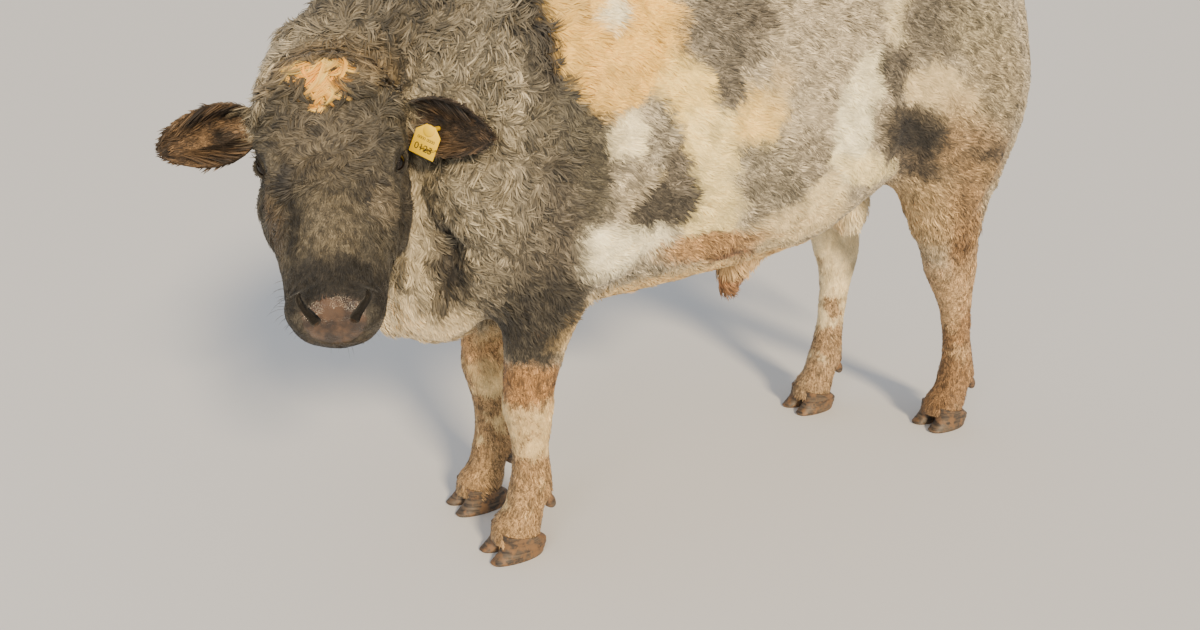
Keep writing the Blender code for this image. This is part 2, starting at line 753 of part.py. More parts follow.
def part_body(torso):
    """Cut the fused body into head, neck, torso and legs, and leave room for the claws."""
    nodes = {"torso": torso}

    nodes["head"] = part_off(torso, "head", HEAD_CUT, head_frame() @ SIDE_VIEW, -0.22, 0.22)
    nodes["neck"] = part_off(torso, "neck", NECK_CUT, SIDE_VIEW, -0.6, 0.6)
    for hand, side in HANDS:
        frame = Matrix.Diagonal((hand, 1.0, 1.0, 1.0)) @ FRONT_VIEW
        for leg, outline, reach in LEG_CUTS:
            name = leg + "_upper_" + side
            nodes[name] = part_off(torso, name, outline, frame, *reach, True)

    for leg, height in (("foreleg", KNEE_CUT), ("hindleg", HOCK_CUT)):
        for hand, side in HANDS:
            name = leg + "_lower_" + side
            outline = ((-1.0, -0.2), (1.0, -0.2), (1.0, height), (-1.0, height))
            nodes[name] = part_off(nodes[leg + "_upper_" + side], name, outline, FRONT_VIEW, -2.5, 1.0)
            across, place = foot_place(leg, side)
            toe = place - CLAW_TOE
            heel = place + CLAW_HEEL
            below = ((toe - 0.1, coronet(-0.1 - CLAW_TOE)), (toe - 0.1, -0.2),
                     (heel + 0.1, -0.2), (heel + 0.1, coronet(0.1 + CLAW_HEEL)))
            cutter = prism(below, SIDE_VIEW, across - 0.2, across + 0.2, GAP / 2)
            join_by_boolean(nodes[name], [cutter], "DIFFERENCE")
    return nodes


# Feet

def foot_place(leg, side):
    """The middle of a foot on the floor."""
    hand = 1.0 if side == "left" else -1.0
    if leg == "foreleg":
        across, place = LEFT_FORE[-1][1:3]
        if side == "right":
            return RIGHT_FORE_SHIFT[0] - across, place + RIGHT_FORE_SHIFT[1]
        return across, place
    stations = LEFT_HIND if side == "left" else RIGHT_HIND
    return stations[-1][1], stations[-1][2]


def coronet(behind):
    """Height of the line where hair meets horn, at a distance behind the middle of the foot."""
    share = (behind + CLAW_TOE) / (CLAW_TOE + CLAW_HEEL)
    return FOOT_HEIGHT + (HEEL_HEIGHT - FOOT_HEIGHT) * share


def claw_ring(middle, half, toe, heel, height=None, count=12):
    """One outline of a claw: pointed at the toe, round at the heel."""
    points = []
    for step in range(count):
        angle = 2.0 * math.pi * (step + 0.5) / count
        cosine = math.cos(angle)
        sine = math.sin(angle)
        across = math.copysign(abs(cosine) ** 0.85, cosine) * half
        along = -sine * toe if sine > 0 else -sine * heel
        level = coronet(along) - GAP / 2 if height is None else height
        points.append(Vector((middle[0] + across, middle[1] + along, level)))
    return points


def build_claw(name, across, place, hand):
    """One horny claw, flat where it stands."""
    half = CLAW_WIDTH / 2
    middle = (across + hand * (half + CLAW_SPLIT / 2), place)
    rings = (
        claw_ring(middle, half * 0.93, CLAW_TOE * 0.95, CLAW_HEEL * 0.95, 0.0),
        claw_ring(middle, half, CLAW_TOE, CLAW_HEEL, 0.005),
        claw_ring((middle[0] - hand * 0.001, place + 0.012), half * 0.97,
                  CLAW_TOE * 0.78, CLAW_HEEL * 0.96, 0.034),
        claw_ring((middle[0] - hand * 0.002, place), half * 0.93, CLAW_TOE * 0.56, CLAW_HEEL * 0.90),
    )
    bm = bmesh.new()
    loft(bm, rings)
    return add_object(name, bm)


def build_dewclaw(name, across, place, hand, leg_node):
    """The small claw that stands behind the fetlock."""
    middle = Vector((across + hand * DEWCLAW_ASIDE, place, DEWCLAW_HEIGHT))
    side = Vector((1.0, 0.0, 0.0))
    down = Matrix.Rotation(DEWCLAW_TILT, 3, "X") @ Vector((0.0, 0.0, -1.0))
    back = side.cross(down)
    rings = []
    for along, half, depth in DEWCLAW_RINGS:
        rings.append(ring(middle + down * along, side, back, half, depth, depth, 2.0, 2.0, 6))
    bm = bmesh.new()
    loft(bm, rings)
    return seat(add_object(name, bm), [leg_node])


def build_feet(nodes):
    for leg in ("foreleg", "hindleg"):
        for _, side in HANDS:
            lower = nodes[leg + "_lower_" + side]
            across, place = foot_place(leg, side)
            for hand, which in ((1.0, "a"), (-1.0, "b")):
                name = "claw_" + leg[:4] + "_" + side + "_" + which
                nodes[name] = build_claw(name, across, place, hand)
                name = "dewclaw_" + leg[:4] + "_" + side + "_" + which
                nodes[name] = build_dewclaw(name, across, place + DEWCLAW_BEHIND, hand, lower)


# Eyes, lids, nostrils and mouth

def tube(path, sides, radii, flat=1.0):
    """A closed tube along a path, with a radius at each point."""
    bm = bmesh.new()
    rings = []
    for step, centre in enumerate(path):
        ahead = path[min(step + 1, len(path) - 1)] - path[max(step - 1, 0)]
        ahead.normalize()
        outward = sides[step]
        across = ahead.cross(outward).normalized()
        outward = across.cross(ahead).normalized()
        high = radii[step] * flat
        rings.append(ring(centre, across, outward, radii[step], high, high, 2, 2, 6))
    loft(bm, rings)
    return bm


def eye_frame(hand):
    """Frame at an eye's middle: X runs forwards to the inner corner, Z looks out, Y points up the head."""
    centre = Vector((EYE_PLACE[0] * hand, EYE_PLACE[1], EYE_PLACE[2]))
    outward = Vector((EYE_OUTWARD[0] * hand, EYE_OUTWARD[1], EYE_OUTWARD[2]))
    forward = Vector((EYE_FORWARD[0] * hand, EYE_FORWARD[1], EYE_FORWARD[2]))
    third = outward.normalized()
    first = (forward - third * forward.dot(third)).normalized()
    second = third.cross(first) * hand
    if second.z < 0:
        second = -second
    turn = Matrix((first, second, third)).transposed().to_4x4()
    return head_frame() @ Matrix.Translation(centre) @ turn


def lid(hand, rise, thickness):
    """One eyelid: a band that lies on the eyeball from corner to corner."""
    frame = eye_frame(hand)
    path = []
    sides = []
    radii = []
    steps = 9
    for step in range(steps + 1):
        share = step / steps
        along = math.radians(-LID_SPAN + 2 * LID_SPAN * share)
        height = math.radians(rise) * math.sin(math.pi * share) ** 0.8
        outward = Vector((math.sin(along) * math.cos(height), math.sin(height),
                          math.cos(along) * math.cos(height)))
        path.append(frame @ (outward * (EYE_RADIUS + LID_LIFT)))
        sides.append(frame.to_3x3() @ outward)
        radii.append(thickness * (0.75 + 0.35 * math.sin(math.pi * share)))
    return add_object("lid", tube(path, sides, radii, 0.62))


def build_eye(name, hand):
    bm = bmesh.new()
    bmesh.ops.create_uvsphere(bm, u_segments=14, v_segments=9, radius=EYE_RADIUS, matrix=eye_frame(hand))
    return add_object(name, bm)


def carve_nostril(hand):
    """A comma-shaped hollow beside the nose pad."""
    frame = head_frame()
    bm = bmesh.new()
    for along, across, height, radii in NOSTRIL:
        turn = Matrix.Rotation(math.radians(-28.0 * hand), 4, "Y")
        ellipsoid(bm, (across * hand, -along, height), radii, 2, turn)
    bmesh.ops.transform(bm, matrix=frame, verts=bm.verts)
    cutter = add_object("nostril", bm)
    remesh = cutter.modifiers.new("fuse", "REMESH")
    remesh.mode = "VOXEL"
    remesh.voxel_size = 0.003
    bake(cutter)
    return thin_out(cutter, 120)


def carve_mouth():
    """A thin wedge that follows the lips round the front of the muzzle."""
    bm = bmesh.new()
    rings = []
    steps = 16
    for step in range(steps + 1):
        angle = math.radians(-90 + 180 * step / steps)
        corner = abs(math.sin(angle)) ** 3
        reach = MOUTH_HALF * math.sin(angle)
        along = MOUTH_FRONT - MOUTH_LENGTH * (1 - math.cos(angle))
        level = MOUTH_LEVEL - 0.012 * corner
        outward = Vector((math.sin(angle), -math.cos(angle) * 0.8 - 0.2, -0.15)).normalized()
        middle = Vector((reach, -along, level))
        depth = 0.010 * (1.0 - 0.6 * corner)
        up = Vector((0.0, 0.0, 1.0))
        rings.append([middle - outward * depth, middle + outward * 0.03 - up * 0.0035,
                      middle + outward * 0.03 + up * 0.0035])
    loft(bm, rings)
    bmesh.ops.transform(bm, matrix=head_frame(), verts=bm.verts)
    return add_object("mouth", bm)


def finish_head(nodes):
    """Give the head its lids, eye sockets, nostrils and mouth line."""
    head = nodes["head"]
    lids = [lid(hand, rise, thickness) for hand, _ in HANDS for rise, thickness in LIDS]
    join_by_boolean(head, lids, "UNION")
    for hand, side in HANDS:
        nodes["eye_" + side] = build_eye("eye_" + side, hand)
        socket = swollen_copy(nodes["eye_" + side], GAP)
        join_by_boolean(head, [socket], "DIFFERENCE")
        join_by_boolean(head, [carve_nostril(hand)], "DIFFERENCE")
    join_by_boolean(head, [carve_mouth()], "DIFFERENCE")


# Hair

def hair_lock(path, lifts, widths, thick):
    """A flat, tapered lock of hair along a path, with the way up and the width at each of its points."""
    rings = []
    for step, centre in enumerate(path):
        ahead = path[min(step + 1, len(path) - 1)] - path[max(step - 1, 0)]
        across = ahead.cross(lifts[step]).normalized()
        up = across.cross(ahead).normalized()
        wide = across * widths[step] / 2
        high = up * thick * math.sqrt(widths[step] / max(widths)) / 2
        rings.append([centre + wide - high, centre + high, centre - wide - high])
    bm = bmesh.new()
    loft(bm, rings)
    return add_object("lock", bm)


def lock_on_surface(tree, start, heading, length, lift, curl, width):
    """A lock that is rooted in a surface, rises and lies down along it, and curls sideways."""
    place, normal = tree.find_nearest(start)[:2]
    path = []
    lifts = []
    widths = []
    gone = 0.0
    for share, raised, wide in LOCK_SHAPE:
        heading = Matrix.Rotation(curl * (share - gone), 3, normal) @ heading
        heading = (heading - normal * heading.dot(normal)).normalized()
        place, normal = tree.find_nearest(place + heading * length * (share - gone))[:2]
        gone = share
        height = lift * raised if share > 0.0 else -LOCK_DEPTH
        path.append(place + normal * height)
        lifts.append(normal)
        widths.append(width * wide)
    return hair_lock(path, lifts, widths, LOCK_THICK)


def surface_tree(obj):
    bm = bmesh.new()
    bm.from_mesh(obj.data)
    tree = BVHTree.FromBMesh(bm)
    bm.free()
    return tree


def grow_poll_hair(head, tree):
    """Rows of curly locks from the poll, which lie forwards and sideways over the forehead."""
    draw = random.Random(POLL_SEED)
    frame = head_frame()
    turn = frame.to_3x3()
    locks = []
    for ahead, half, count, length, lift in POLL_ROWS:
        for step in range(count):
            side = -1.0 + 2.0 * (step + draw.uniform(0.25, 0.75)) / count
            start = Vector((half * side, -ahead - 0.012 * draw.random(), 0.05))
            heading = Vector((LOCK_SPREAD * side + draw.uniform(-0.25, 0.25), -1.0, 0.0))
            curl = math.radians(draw.uniform(50.0, 120.0)) * (1 if draw.random() < 0.5 + 0.4 * side else -1)
            size = draw.uniform(0.85, 1.15)
            locks.append(lock_on_surface(tree, frame @ start, turn @ heading, length * size,
                                         lift * draw.uniform(0.8, 1.15), curl, LOCK_WIDTH * size))
    join_by_boolean(head, locks, "UNION", HAIR_SOLVERS)


def switch_middle(share):
    """Centre and half width of the tail's brush at a share of its length."""
    place = share * (len(SWITCH) - 1)
    step = min(int(place), len(SWITCH) - 2)
    rest = place - step
    centre = Vector(SWITCH[step][0]).lerp(Vector(SWITCH[step + 1][0]), rest)
    return centre, SWITCH[step][1] * (1.0 - rest) + SWITCH[step + 1][1] * rest


def build_switch(tail):
    """The brush of long hair at the tail's end: a core half way down, and locks over it to the tips."""
    draw = random.Random(5)
    core = []
    for point, half, depth in SWITCH[:4]:
        core.append((point, half * SWITCH_CORE, depth * SWITCH_CORE))
    core[0] = (SWITCH[0][0], SWITCH[0][1], SWITCH[0][2])
    core.append((SWITCH[4][0], 0.006, 0.006))
    brush = build_hanging("tail_switch", core, [tail], 12)
    locks = []
    for step in range(SWITCH_LOCKS):
        turn = 2.0 * math.pi * (step + draw.uniform(-0.3, 0.3)) / SWITCH_LOCKS * 3.0
        first = 0.06 + 0.36 * (step % 3) / 3.0 + draw.uniform(0.0, 0.08)
        last = min(1.0, first + draw.uniform(0.50, 0.62))
        twist = math.radians(draw.uniform(-45.0, 45.0))
        path = []
        lifts = []
        widths = []
        for share, raised, wide in LOCK_SHAPE:
            centre, half = switch_middle(first + (last - first) * share)
            outward = Vector((math.cos(turn + twist * share), math.sin(turn + twist * share), 0.0))
            reach = half * (SWITCH_CORE * 0.6 if share == 0.0 else 0.62 + 0.26 * raised)
            path.append(centre + outward * reach)
            lifts.append(outward)
            widths.append(0.024 * wide)
        locks.append(hair_lock(path, lifts, widths, LOCK_THICK))
    return join_by_boolean(brush, locks, "UNION", HAIR_SOLVERS)


def grow_ear_hair(ear, hand):
    """Locks that are rooted inside the cup of an ear and lean out of its opening."""
    draw = random.Random(3)
    frame = ear_frame(hand)
    locks = []
    for along, side, length, drift in EAR_LOCKS:
        path = []
        lifts = []
        widths = []
        for share, depth, wide in EAR_LOCK_SHAPE:
            place = along + length / EAR_LENGTH * share
            across = side + drift * share
            path.append(frame @ ear_point(place, across, depth))
            outward = ear_point(place, across, depth - 0.01) - ear_point(place, across, depth)
            lifts.append(frame.to_3x3() @ outward.normalized())
            widths.append(0.011 * wide * draw.uniform(0.85, 1.15))
        locks.append(hair_lock(path, lifts, widths, 0.0036))
    join_by_boolean(ear, locks, "UNION", HAIR_SOLVERS)


# Ears and the tag

def ear_frame(hand):
    """Frame at an ear's root: X along the ear, Z out of its opening."""
    root = Vector((EAR_ROOT[0] * hand, EAR_ROOT[1], EAR_ROOT[2]))
    along = Vector((EAR_ALONG[0] * hand, EAR_ALONG[1], EAR_ALONG[2])).normalized()
    opening = Vector((EAR_OPENING[0] * hand, EAR_OPENING[1], EAR_OPENING[2]))
    third = (opening - along * opening.dot(along)).normalized()
    second = third.cross(along)
    turn = Matrix((along, second, third)).transposed().to_4x4()
    return head_frame() @ Matrix.Translation(root) @ turn


def ear_half_width(share):
    rise = min(1.0, share / EAR_WIDEST)
    base = EAR_BASE + (1.0 - EAR_BASE) * math.sin(rise * math.pi / 2)
    fall = max(0.0, (share - EAR_WIDEST) / (1.0 - EAR_WIDEST))
    return EAR_WIDTH / 2 * base * (1.0 - fall ** 1.9) ** 0.62


def ear_point(share, side, depth):
    """A point of the cup: share along the ear, side from -1 to 1 across, depth behind the inner face."""
    half = max(ear_half_width(share), 0.003)
    bend = math.radians(98.0 - 58.0 * share)
    radius = half / math.sin(min(bend, math.pi / 2))
    angle = side * bend
    hollow = radius * (math.cos(angle) - math.cos(bend))
    along = share * EAR_LENGTH
    across = radius * math.sin(angle) * (1.0 + depth / radius)
    below = hollow + depth * math.cos(angle)
    sag = 0.012 * math.sin(math.pi * share)
    return Vector((along, across, -below + sag))


def build_ear(name, hand, hosts):
    """A cupped ear, open forwards, thick in the middle and thin at its rim."""
    bm = bmesh.new()
    rows = []
    lengths = 9
    sides = 8
    for step in range(lengths + 1):
        share = 0.985 * step / lengths
        row = []
        for face in (0, 1):
            order = range(sides + 1) if face == 0 else range(sides, -1, -1)
            for place in order:
                side = -1.0 + 2.0 * place / sides
                if face == 1 and abs(side) == 1.0:
                    continue
                depth = face * (EAR_THICK * (1.0 - 0.5 * share) * (1.0 - 0.6 * side * side))
                row.append(ear_point(share, side, depth))
        rows.append(row)
    loft(bm, rows, sides)
    bmesh.ops.transform(bm, matrix=ear_frame(hand), verts=bm.verts)
    ear = add_object(name, bm)
    grow_ear_hair(ear, hand)
    return seat(ear, hosts)


def build_tag(ear):
    """A five-sided plate held by a stud in the ear."""
    frame = ear_frame(1.0) @ Matrix.Translation(TAG_PLACE) @ Matrix.Rotation(TAG_TURN, 4, "Z")
    half = TAG_WIDTH / 2
    outline = ((-half, -TAG_HEIGHT * 0.62), (half, -TAG_HEIGHT * 0.62), (half, TAG_HEIGHT * 0.12),
               (half * 0.35, TAG_HEIGHT * 0.38), (-half * 0.35, TAG_HEIGHT * 0.38), (-half, TAG_HEIGHT * 0.12))
    plate = prism(outline, frame, 0.0, TAG_THICK, 0.0)
    plate.name = "ear_tag"
    bm = bmesh.new()
    rows = []
    for radius, height in ((0.0045, -0.045), (0.0045, 0.001), (0.011, 0.0012), (0.011, TAG_THICK + 0.003)):
        rows.append([Vector((math.cos(a) * radius, TAG_HEIGHT * 0.22 + math.sin(a) * radius, height))
                     for a in (2 * math.pi * n / 10 for n in range(10))])
    loft(bm, rows)
    bmesh.ops.transform(bm, matrix=frame, verts=bm.verts)
    join_by_boolean(plate, [add_object("stud", bm)], "UNION")
    return seat(plate, [ear], 2.0 * GAP)


# Hanging parts

def path_rings(stations, count):
    """Rings along a path whose rows give a point, a half width and a half depth."""
    points = [Vector(row[0]) for row in stations]
    side = Vector((1.0, 0.0, 0.0))
    rings = []
    for step, (_, half, depth) in enumerate(stations):
        ahead = points[min(step + 1, len(points) - 1)] - points[max(step - 1, 0)]
        back = ahead.cross(side).normalized()
        rings.append(ring(points[step], side, back, half, depth, depth, 2.1, 2.1, count))
    return rings


def build_hanging(name, stations, hosts, count=12):
    bm = bmesh.new()
    loft(bm, path_rings(stations, count))
    return seat(add_object(name, bm), hosts)


# Colours and placing

def colour_for(name):
    if name.startswith("claw") or name.startswith("dewclaw"):
        return COLOURS["horn"]
    if name.startswith("eye"):
        return COLOURS["eye"]
    if name == "ear_tag":
        return COLOURS["tag"]
    if name == "scrotum" or name == "sheath":
        return COLOURS["pale skin"]
    if name == "hindleg_lower_right" or name.startswith("foreleg_lower"):
        return COLOURS["cream"]
    return COLOURS["roan"]


def settle(nodes):
    """Paint every solid and stand the whole on the middle of its box."""
    corners = np.array([vert.co[:] for node in nodes.values() for vert in node.data.vertices])
    low = corners.min(axis=0)
    high = corners.max(axis=0)
    shift = Vector((-(low[0] + high[0]) / 2, -(low[1] + high[1]) / 2, -low[2]))
    stand = bpy.data.objects.new("bull_stance", None)
    bpy.context.scene.collection.objects.link(stand)
    for name, node in nodes.items():
        node.name = name
        node.data.name = name
        node.data.materials.clear()
        colour, roughness = colour_for(name)
        node.data.materials.append(paint(name + "_finish", colour, roughness))
        node.data.transform(Matrix.Translation(shift))
        if name.startswith("eye"):
            node.data.shade_smooth()
        node.parent = stand
    return shift


def main():
    clear_scene()
    nodes = part_body(build_body())
    bare_head = surface_tree(nodes["head"])
    build_feet(nodes)
    for hand, side in HANDS:
        nodes["ear_" + side] = build_ear("ear_" + side, hand, [nodes["head"], nodes["neck"]])
    finish_head(nodes)
    grow_poll_hair(nodes["head"], bare_head)
    seat(nodes["head"], [nodes["neck"], nodes["ear_left"], nodes["ear_right"]], HAIR_GAP)
    nodes["ear_tag"] = build_tag(nodes["ear_left"])
    nodes["tail"] = build_hanging("tail", TAIL, [nodes["torso"]])
    nodes["tail_switch"] = build_switch(nodes["tail"])
    groin = [nodes["torso"], nodes["hindleg_upper_left"], nodes["hindleg_upper_right"]]
    nodes["scrotum"] = build_hanging("scrotum", SCROTUM, groin)
    nodes["sheath"] = build_hanging("sheath", SHEATH, [nodes["torso"]])
    return nodes, settle(nodes)


NODES, SHIFT = main()
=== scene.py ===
"""Looks of a life-size still model of a standing bull, built on the frame of its solids.

Units are metres and +Z is up. The bull faces -Y and its left side is at +X. As in the solids, everything
is laid out with the near forefoot at Y = 0 and is then moved by the shift that stands the solids on the
middle of their box.
"""

import functools
import json
import math

import bmesh
import bpy
import numpy as np
from mathutils import Matrix, Vector
from mathutils.bvhtree import BVHTree

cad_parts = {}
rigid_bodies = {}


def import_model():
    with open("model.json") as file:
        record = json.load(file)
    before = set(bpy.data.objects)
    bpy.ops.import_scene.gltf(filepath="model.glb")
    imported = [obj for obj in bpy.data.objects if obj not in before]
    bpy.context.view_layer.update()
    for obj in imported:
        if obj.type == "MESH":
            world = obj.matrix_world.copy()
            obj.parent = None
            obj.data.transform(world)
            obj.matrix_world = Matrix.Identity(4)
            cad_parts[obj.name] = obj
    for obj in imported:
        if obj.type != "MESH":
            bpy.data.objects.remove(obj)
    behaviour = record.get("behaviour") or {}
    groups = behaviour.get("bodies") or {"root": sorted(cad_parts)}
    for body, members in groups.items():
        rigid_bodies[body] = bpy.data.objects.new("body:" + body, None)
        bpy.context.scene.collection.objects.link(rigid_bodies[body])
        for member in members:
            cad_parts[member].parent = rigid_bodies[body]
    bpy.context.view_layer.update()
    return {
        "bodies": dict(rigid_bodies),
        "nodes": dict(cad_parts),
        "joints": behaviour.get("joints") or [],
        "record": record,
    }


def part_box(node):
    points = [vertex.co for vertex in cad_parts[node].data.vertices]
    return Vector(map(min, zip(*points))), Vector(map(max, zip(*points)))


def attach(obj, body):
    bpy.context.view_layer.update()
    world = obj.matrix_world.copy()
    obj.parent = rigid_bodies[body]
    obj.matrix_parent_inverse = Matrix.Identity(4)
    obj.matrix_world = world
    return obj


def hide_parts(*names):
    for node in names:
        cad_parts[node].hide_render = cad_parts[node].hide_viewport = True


# Skin

SKIN_VOXEL = 0.011           # grid that fuses the masses, far from the head
HEAD_REACH = 0.30            # round the head's middle, the grid is finer
HEAD_FINENESS = 3.4
FAR = 10.0                   # beyond the whole bull
TRUNK_ROUNDS = 120           # smoothing of the trunk
HEAD_ROUNDS = 45             # smoothing of the head
RING_POINTS = 48
GAP = 0.0003                 # space between pieces that touch
CREST = ((0.0, -0.015, -0.005), (0.170, 0.120, 0.100))     # region of the poll that is smoothed more
CREST_ROUNDS = 130
LEAST_LID = 0.0012           # thinnest skin over the eyeball
HANDS = (1.0, -1.0)          # sign of X on the left and on the right

POLL = Vector((0.115, -0.388, 1.165))
HEAD_TURN = math.radians(71.0)
HEAD_DROP = math.radians(38.0)

EYE_RADIUS = 0.0225
EYE_PLACE = (0.1085, -0.182, -0.046)      # left eye, in the head's own frame
EYE_OUTWARD = (0.80, -0.42, 0.42)
EYE_FORWARD = (-0.28, -0.92, -0.10)
EAR_LENGTH = 0.185
EAR_WIDTH = 0.106
EAR_ROOT = (0.128, -0.082, -0.040)

FOOT_HEIGHT = 0.082          # coronet at the toe
HEEL_HEIGHT = 0.048
CLAW_WIDTH = 0.058
CLAW_LENGTH = 0.138
CLAW_SPLIT = 0.007           # space between the two claws of a foot

# Torso: distance behind the near forefoot, top, bottom, half width, height of the widest line
TORSO = (
    (-0.26, 1.24, 0.70, 0.13, 0.98),
    (-0.18, 1.37, 0.60, 0.24, 0.97),
    (-0.03, 1.45, 0.580, 0.31, 0.98),
    (0.15, 1.46, 0.585, 0.335, 1.00),
    (0.45, 1.43, 0.605, 0.35, 0.97),
    (0.75, 1.43, 0.635, 0.365, 0.95),
    (0.98, 1.45, 0.745, 0.335, 1.03),
    (1.20, 1.46, 0.83, 0.32, 1.10),
    (1.38, 1.43, 0.84, 0.27, 1.06),
    (1.50, 1.36, 0.86, 0.19, 1.06),
    (1.57, 1.24, 0.92, 0.09, 1.06),
)

# Neck: centre, half width, reach up, reach down, along a line that bends to the left
NECK = (
    ((0.000, 0.16, 1.06), 0.30, 0.40, 0.38),
    ((-0.004, -0.03, 1.06), 0.283, 0.375, 0.39),
    ((-0.022, -0.17, 1.095), 0.250, 0.300, 0.41),
    ((-0.038, -0.275, 1.110), 0.208, 0.225, 0.37),
    ((-0.008, -0.360, 1.095), 0.168, 0.172, 0.29),
    ((0.060, -0.392, 1.060), 0.132, 0.136, 0.19),
)

# Muscle masses on both sides: centre, radii
PAIRED_MASSES = (
    ((0.225, 0.05, 1.10), (0.125, 0.21, 0.27)),
    ((0.245, 0.13, 0.86), (0.105, 0.16, 0.18)),
    ((0.185, -0.10, 0.93), (0.115, 0.14, 0.15)),
    ((0.195, 1.11, 1.26), (0.150, 0.25, 0.18)),
    ((0.205, 1.22, 1.00), (0.148, 0.235, 0.31)),
    ((0.125, 1.415, 1.00), (0.125, 0.140, 0.26)),
    ((0.235, 1.03, 0.93), (0.090, 0.13, 0.115)),
    ((0.100, 0.80, 1.375), (0.115, 0.44, 0.085)),
    ((0.150, 0.20, 1.33), (0.120, 0.20, 0.11)),
)

# Single masses on the middle line: centre, radii
MIDDLE_MASSES = (
    ((0.0, -0.17, 0.710), (0.165, 0.150, 0.172)),
    ((0.0, -0.26, 0.77), (0.080, 0.085, 0.21)),
    ((0.0, 0.10, 1.36), (0.13, 0.24, 0.11)),
    ((0.0, 0.55, 0.93), (0.375, 0.42, 0.315)),
    ((0.0, 0.98, 0.90), (0.20, 0.22, 0.16)),
)

# Creases between muscles on both sides, seen from the side: line of points (distance behind the near
# forefoot, height), half width, depth; a negative depth is a ridge
CREASES = (
    (((0.035, 1.42), (0.005, 1.25), (-0.02, 1.10), (-0.05, 0.96)), 0.036, 0.014),
    (((0.25, 1.30), (0.285, 1.14), (0.270, 0.96), (0.225, 0.80), (0.17, 0.71)), 0.055, 0.017),
    (((0.20, 1.12), (0.11, 0.98), (0.065, 0.86)), 0.034, 0.008),
    (((0.995, 0.845), (0.945, 0.98), (0.915, 1.12), (0.92, 1.22)), 0.055, 0.018),
    (((1.06, 1.30), (1.125, 1.08), (1.10, 0.88)), 0.042, 0.009),
    (((1.375, 1.28), (1.385, 1.06), (1.345, 0.86), (1.30, 0.73)), 0.040, 0.017),
    (((0.35, 1.285), (0.65, 1.265), (0.93, 1.285)), 0.040, 0.008),
    (((0.965, 1.335), (1.01, 1.345)), 0.050, -0.014),
)
CREASE_START = 0.09          # distance from the middle plane where the creases begin to show
CREASE_FADE = 0.06

# Legs: height, place across, place behind the near forefoot, half width, half depth
LEFT_FORE = (
    (0.98, 0.235, 0.02, 0.095, 0.150),
    (0.82, 0.215, 0.055, 0.098, 0.150),
    (0.71, 0.185, 0.045, 0.092, 0.128),
    (0.61, 0.160, 0.025, 0.076, 0.098),
    (0.51, 0.145, 0.010, 0.061, 0.072),
    (0.43, 0.136, 0.000, 0.056, 0.062),
    (0.385, 0.132, -0.003, 0.063, 0.064),
    (0.34, 0.129, 0.001, 0.054, 0.055),
    (0.27, 0.125, 0.005, 0.043, 0.046),
    (0.205, 0.122, 0.007, 0.046, 0.050),
    (0.155, 0.121, 0.004, 0.056, 0.058),
    (0.115, 0.121, -0.014, 0.050, 0.051),
    (0.080, 0.121, -0.034, 0.060, 0.064),
    (0.030, 0.121, -0.045, 0.058, 0.062),
)
RIGHT_FORE_SHIFT = (0.0, 0.010)

LEFT_HIND = (
    (1.00, 0.205, 1.22, 0.130, 0.225),
    (0.86, 0.215, 1.215, 0.125, 0.200),
    (0.76, 0.212, 1.225, 0.105, 0.165),
    (0.67, 0.202, 1.240, 0.080, 0.132),
    (0.59, 0.192, 1.283, 0.058, 0.108),
    (0.52, 0.185, 1.308, 0.055, 0.096),
    (0.46, 0.178, 1.335, 0.049, 0.073),
    (0.38, 0.172, 1.368, 0.040, 0.052),
    (0.28, 0.167, 1.398, 0.038, 0.047),
    (0.205, 0.164, 1.418, 0.045, 0.050),
    (0.155, 0.163, 1.425, 0.054, 0.057),
    (0.115, 0.163, 1.409, 0.049, 0.051),
    (0.080, 0.163, 1.389, 0.058, 0.063),
    (0.030, 0.163, 1.378, 0.056, 0.061),
)

RIGHT_HIND = (
    (1.00, -0.205, 1.22, 0.130, 0.225),
    (0.86, -0.210, 1.165, 0.125, 0.200),
    (0.76, -0.200, 1.145, 0.105, 0.165),
    (0.67, -0.185, 1.155, 0.080, 0.128),
    (0.59, -0.168, 1.182, 0.058, 0.100),
    (0.52, -0.155, 1.190, 0.055, 0.090),
    (0.46, -0.145, 1.192, 0.049, 0.069),
    (0.38, -0.138, 1.184, 0.040, 0.052),
    (0.28, -0.132, 1.172, 0.038, 0.047),
    (0.205, -0.128, 1.164, 0.045, 0.050),
    (0.155, -0.127, 1.157, 0.054, 0.057),
    (0.115, -0.127, 1.140, 0.049, 0.051),
    (0.080, -0.127, 1.119, 0.058, 0.063),
    (0.030, -0.127, 1.108, 0.056, 0.061),
)

# Head, in its own frame: distance from the poll towards the nose, half width, top, bottom, widest line
HEAD = (
    (-0.045, 0.060, -0.030, -0.120, -0.07),
    (-0.01, 0.108, 0.004, -0.165, -0.06),
    (0.05, 0.136, 0.016, -0.205, -0.055),
    (0.12, 0.138, 0.014, -0.228, -0.065),
    (0.19, 0.128, 0.002, -0.234, -0.075),
    (0.25, 0.119, -0.008, -0.222, -0.090),
    (0.31, 0.110, -0.014, -0.200, -0.098),
    (0.37, 0.099, -0.018, -0.180, -0.095),
    (0.42, 0.091, -0.022, -0.166, -0.090),
    (0.46, 0.087, -0.027, -0.159, -0.088),
    (0.495, 0.081, -0.038, -0.152, -0.09),
    (0.515, 0.067, -0.052, -0.142, -0.09),
    (0.527, 0.043, -0.068, -0.122, -0.09),
)

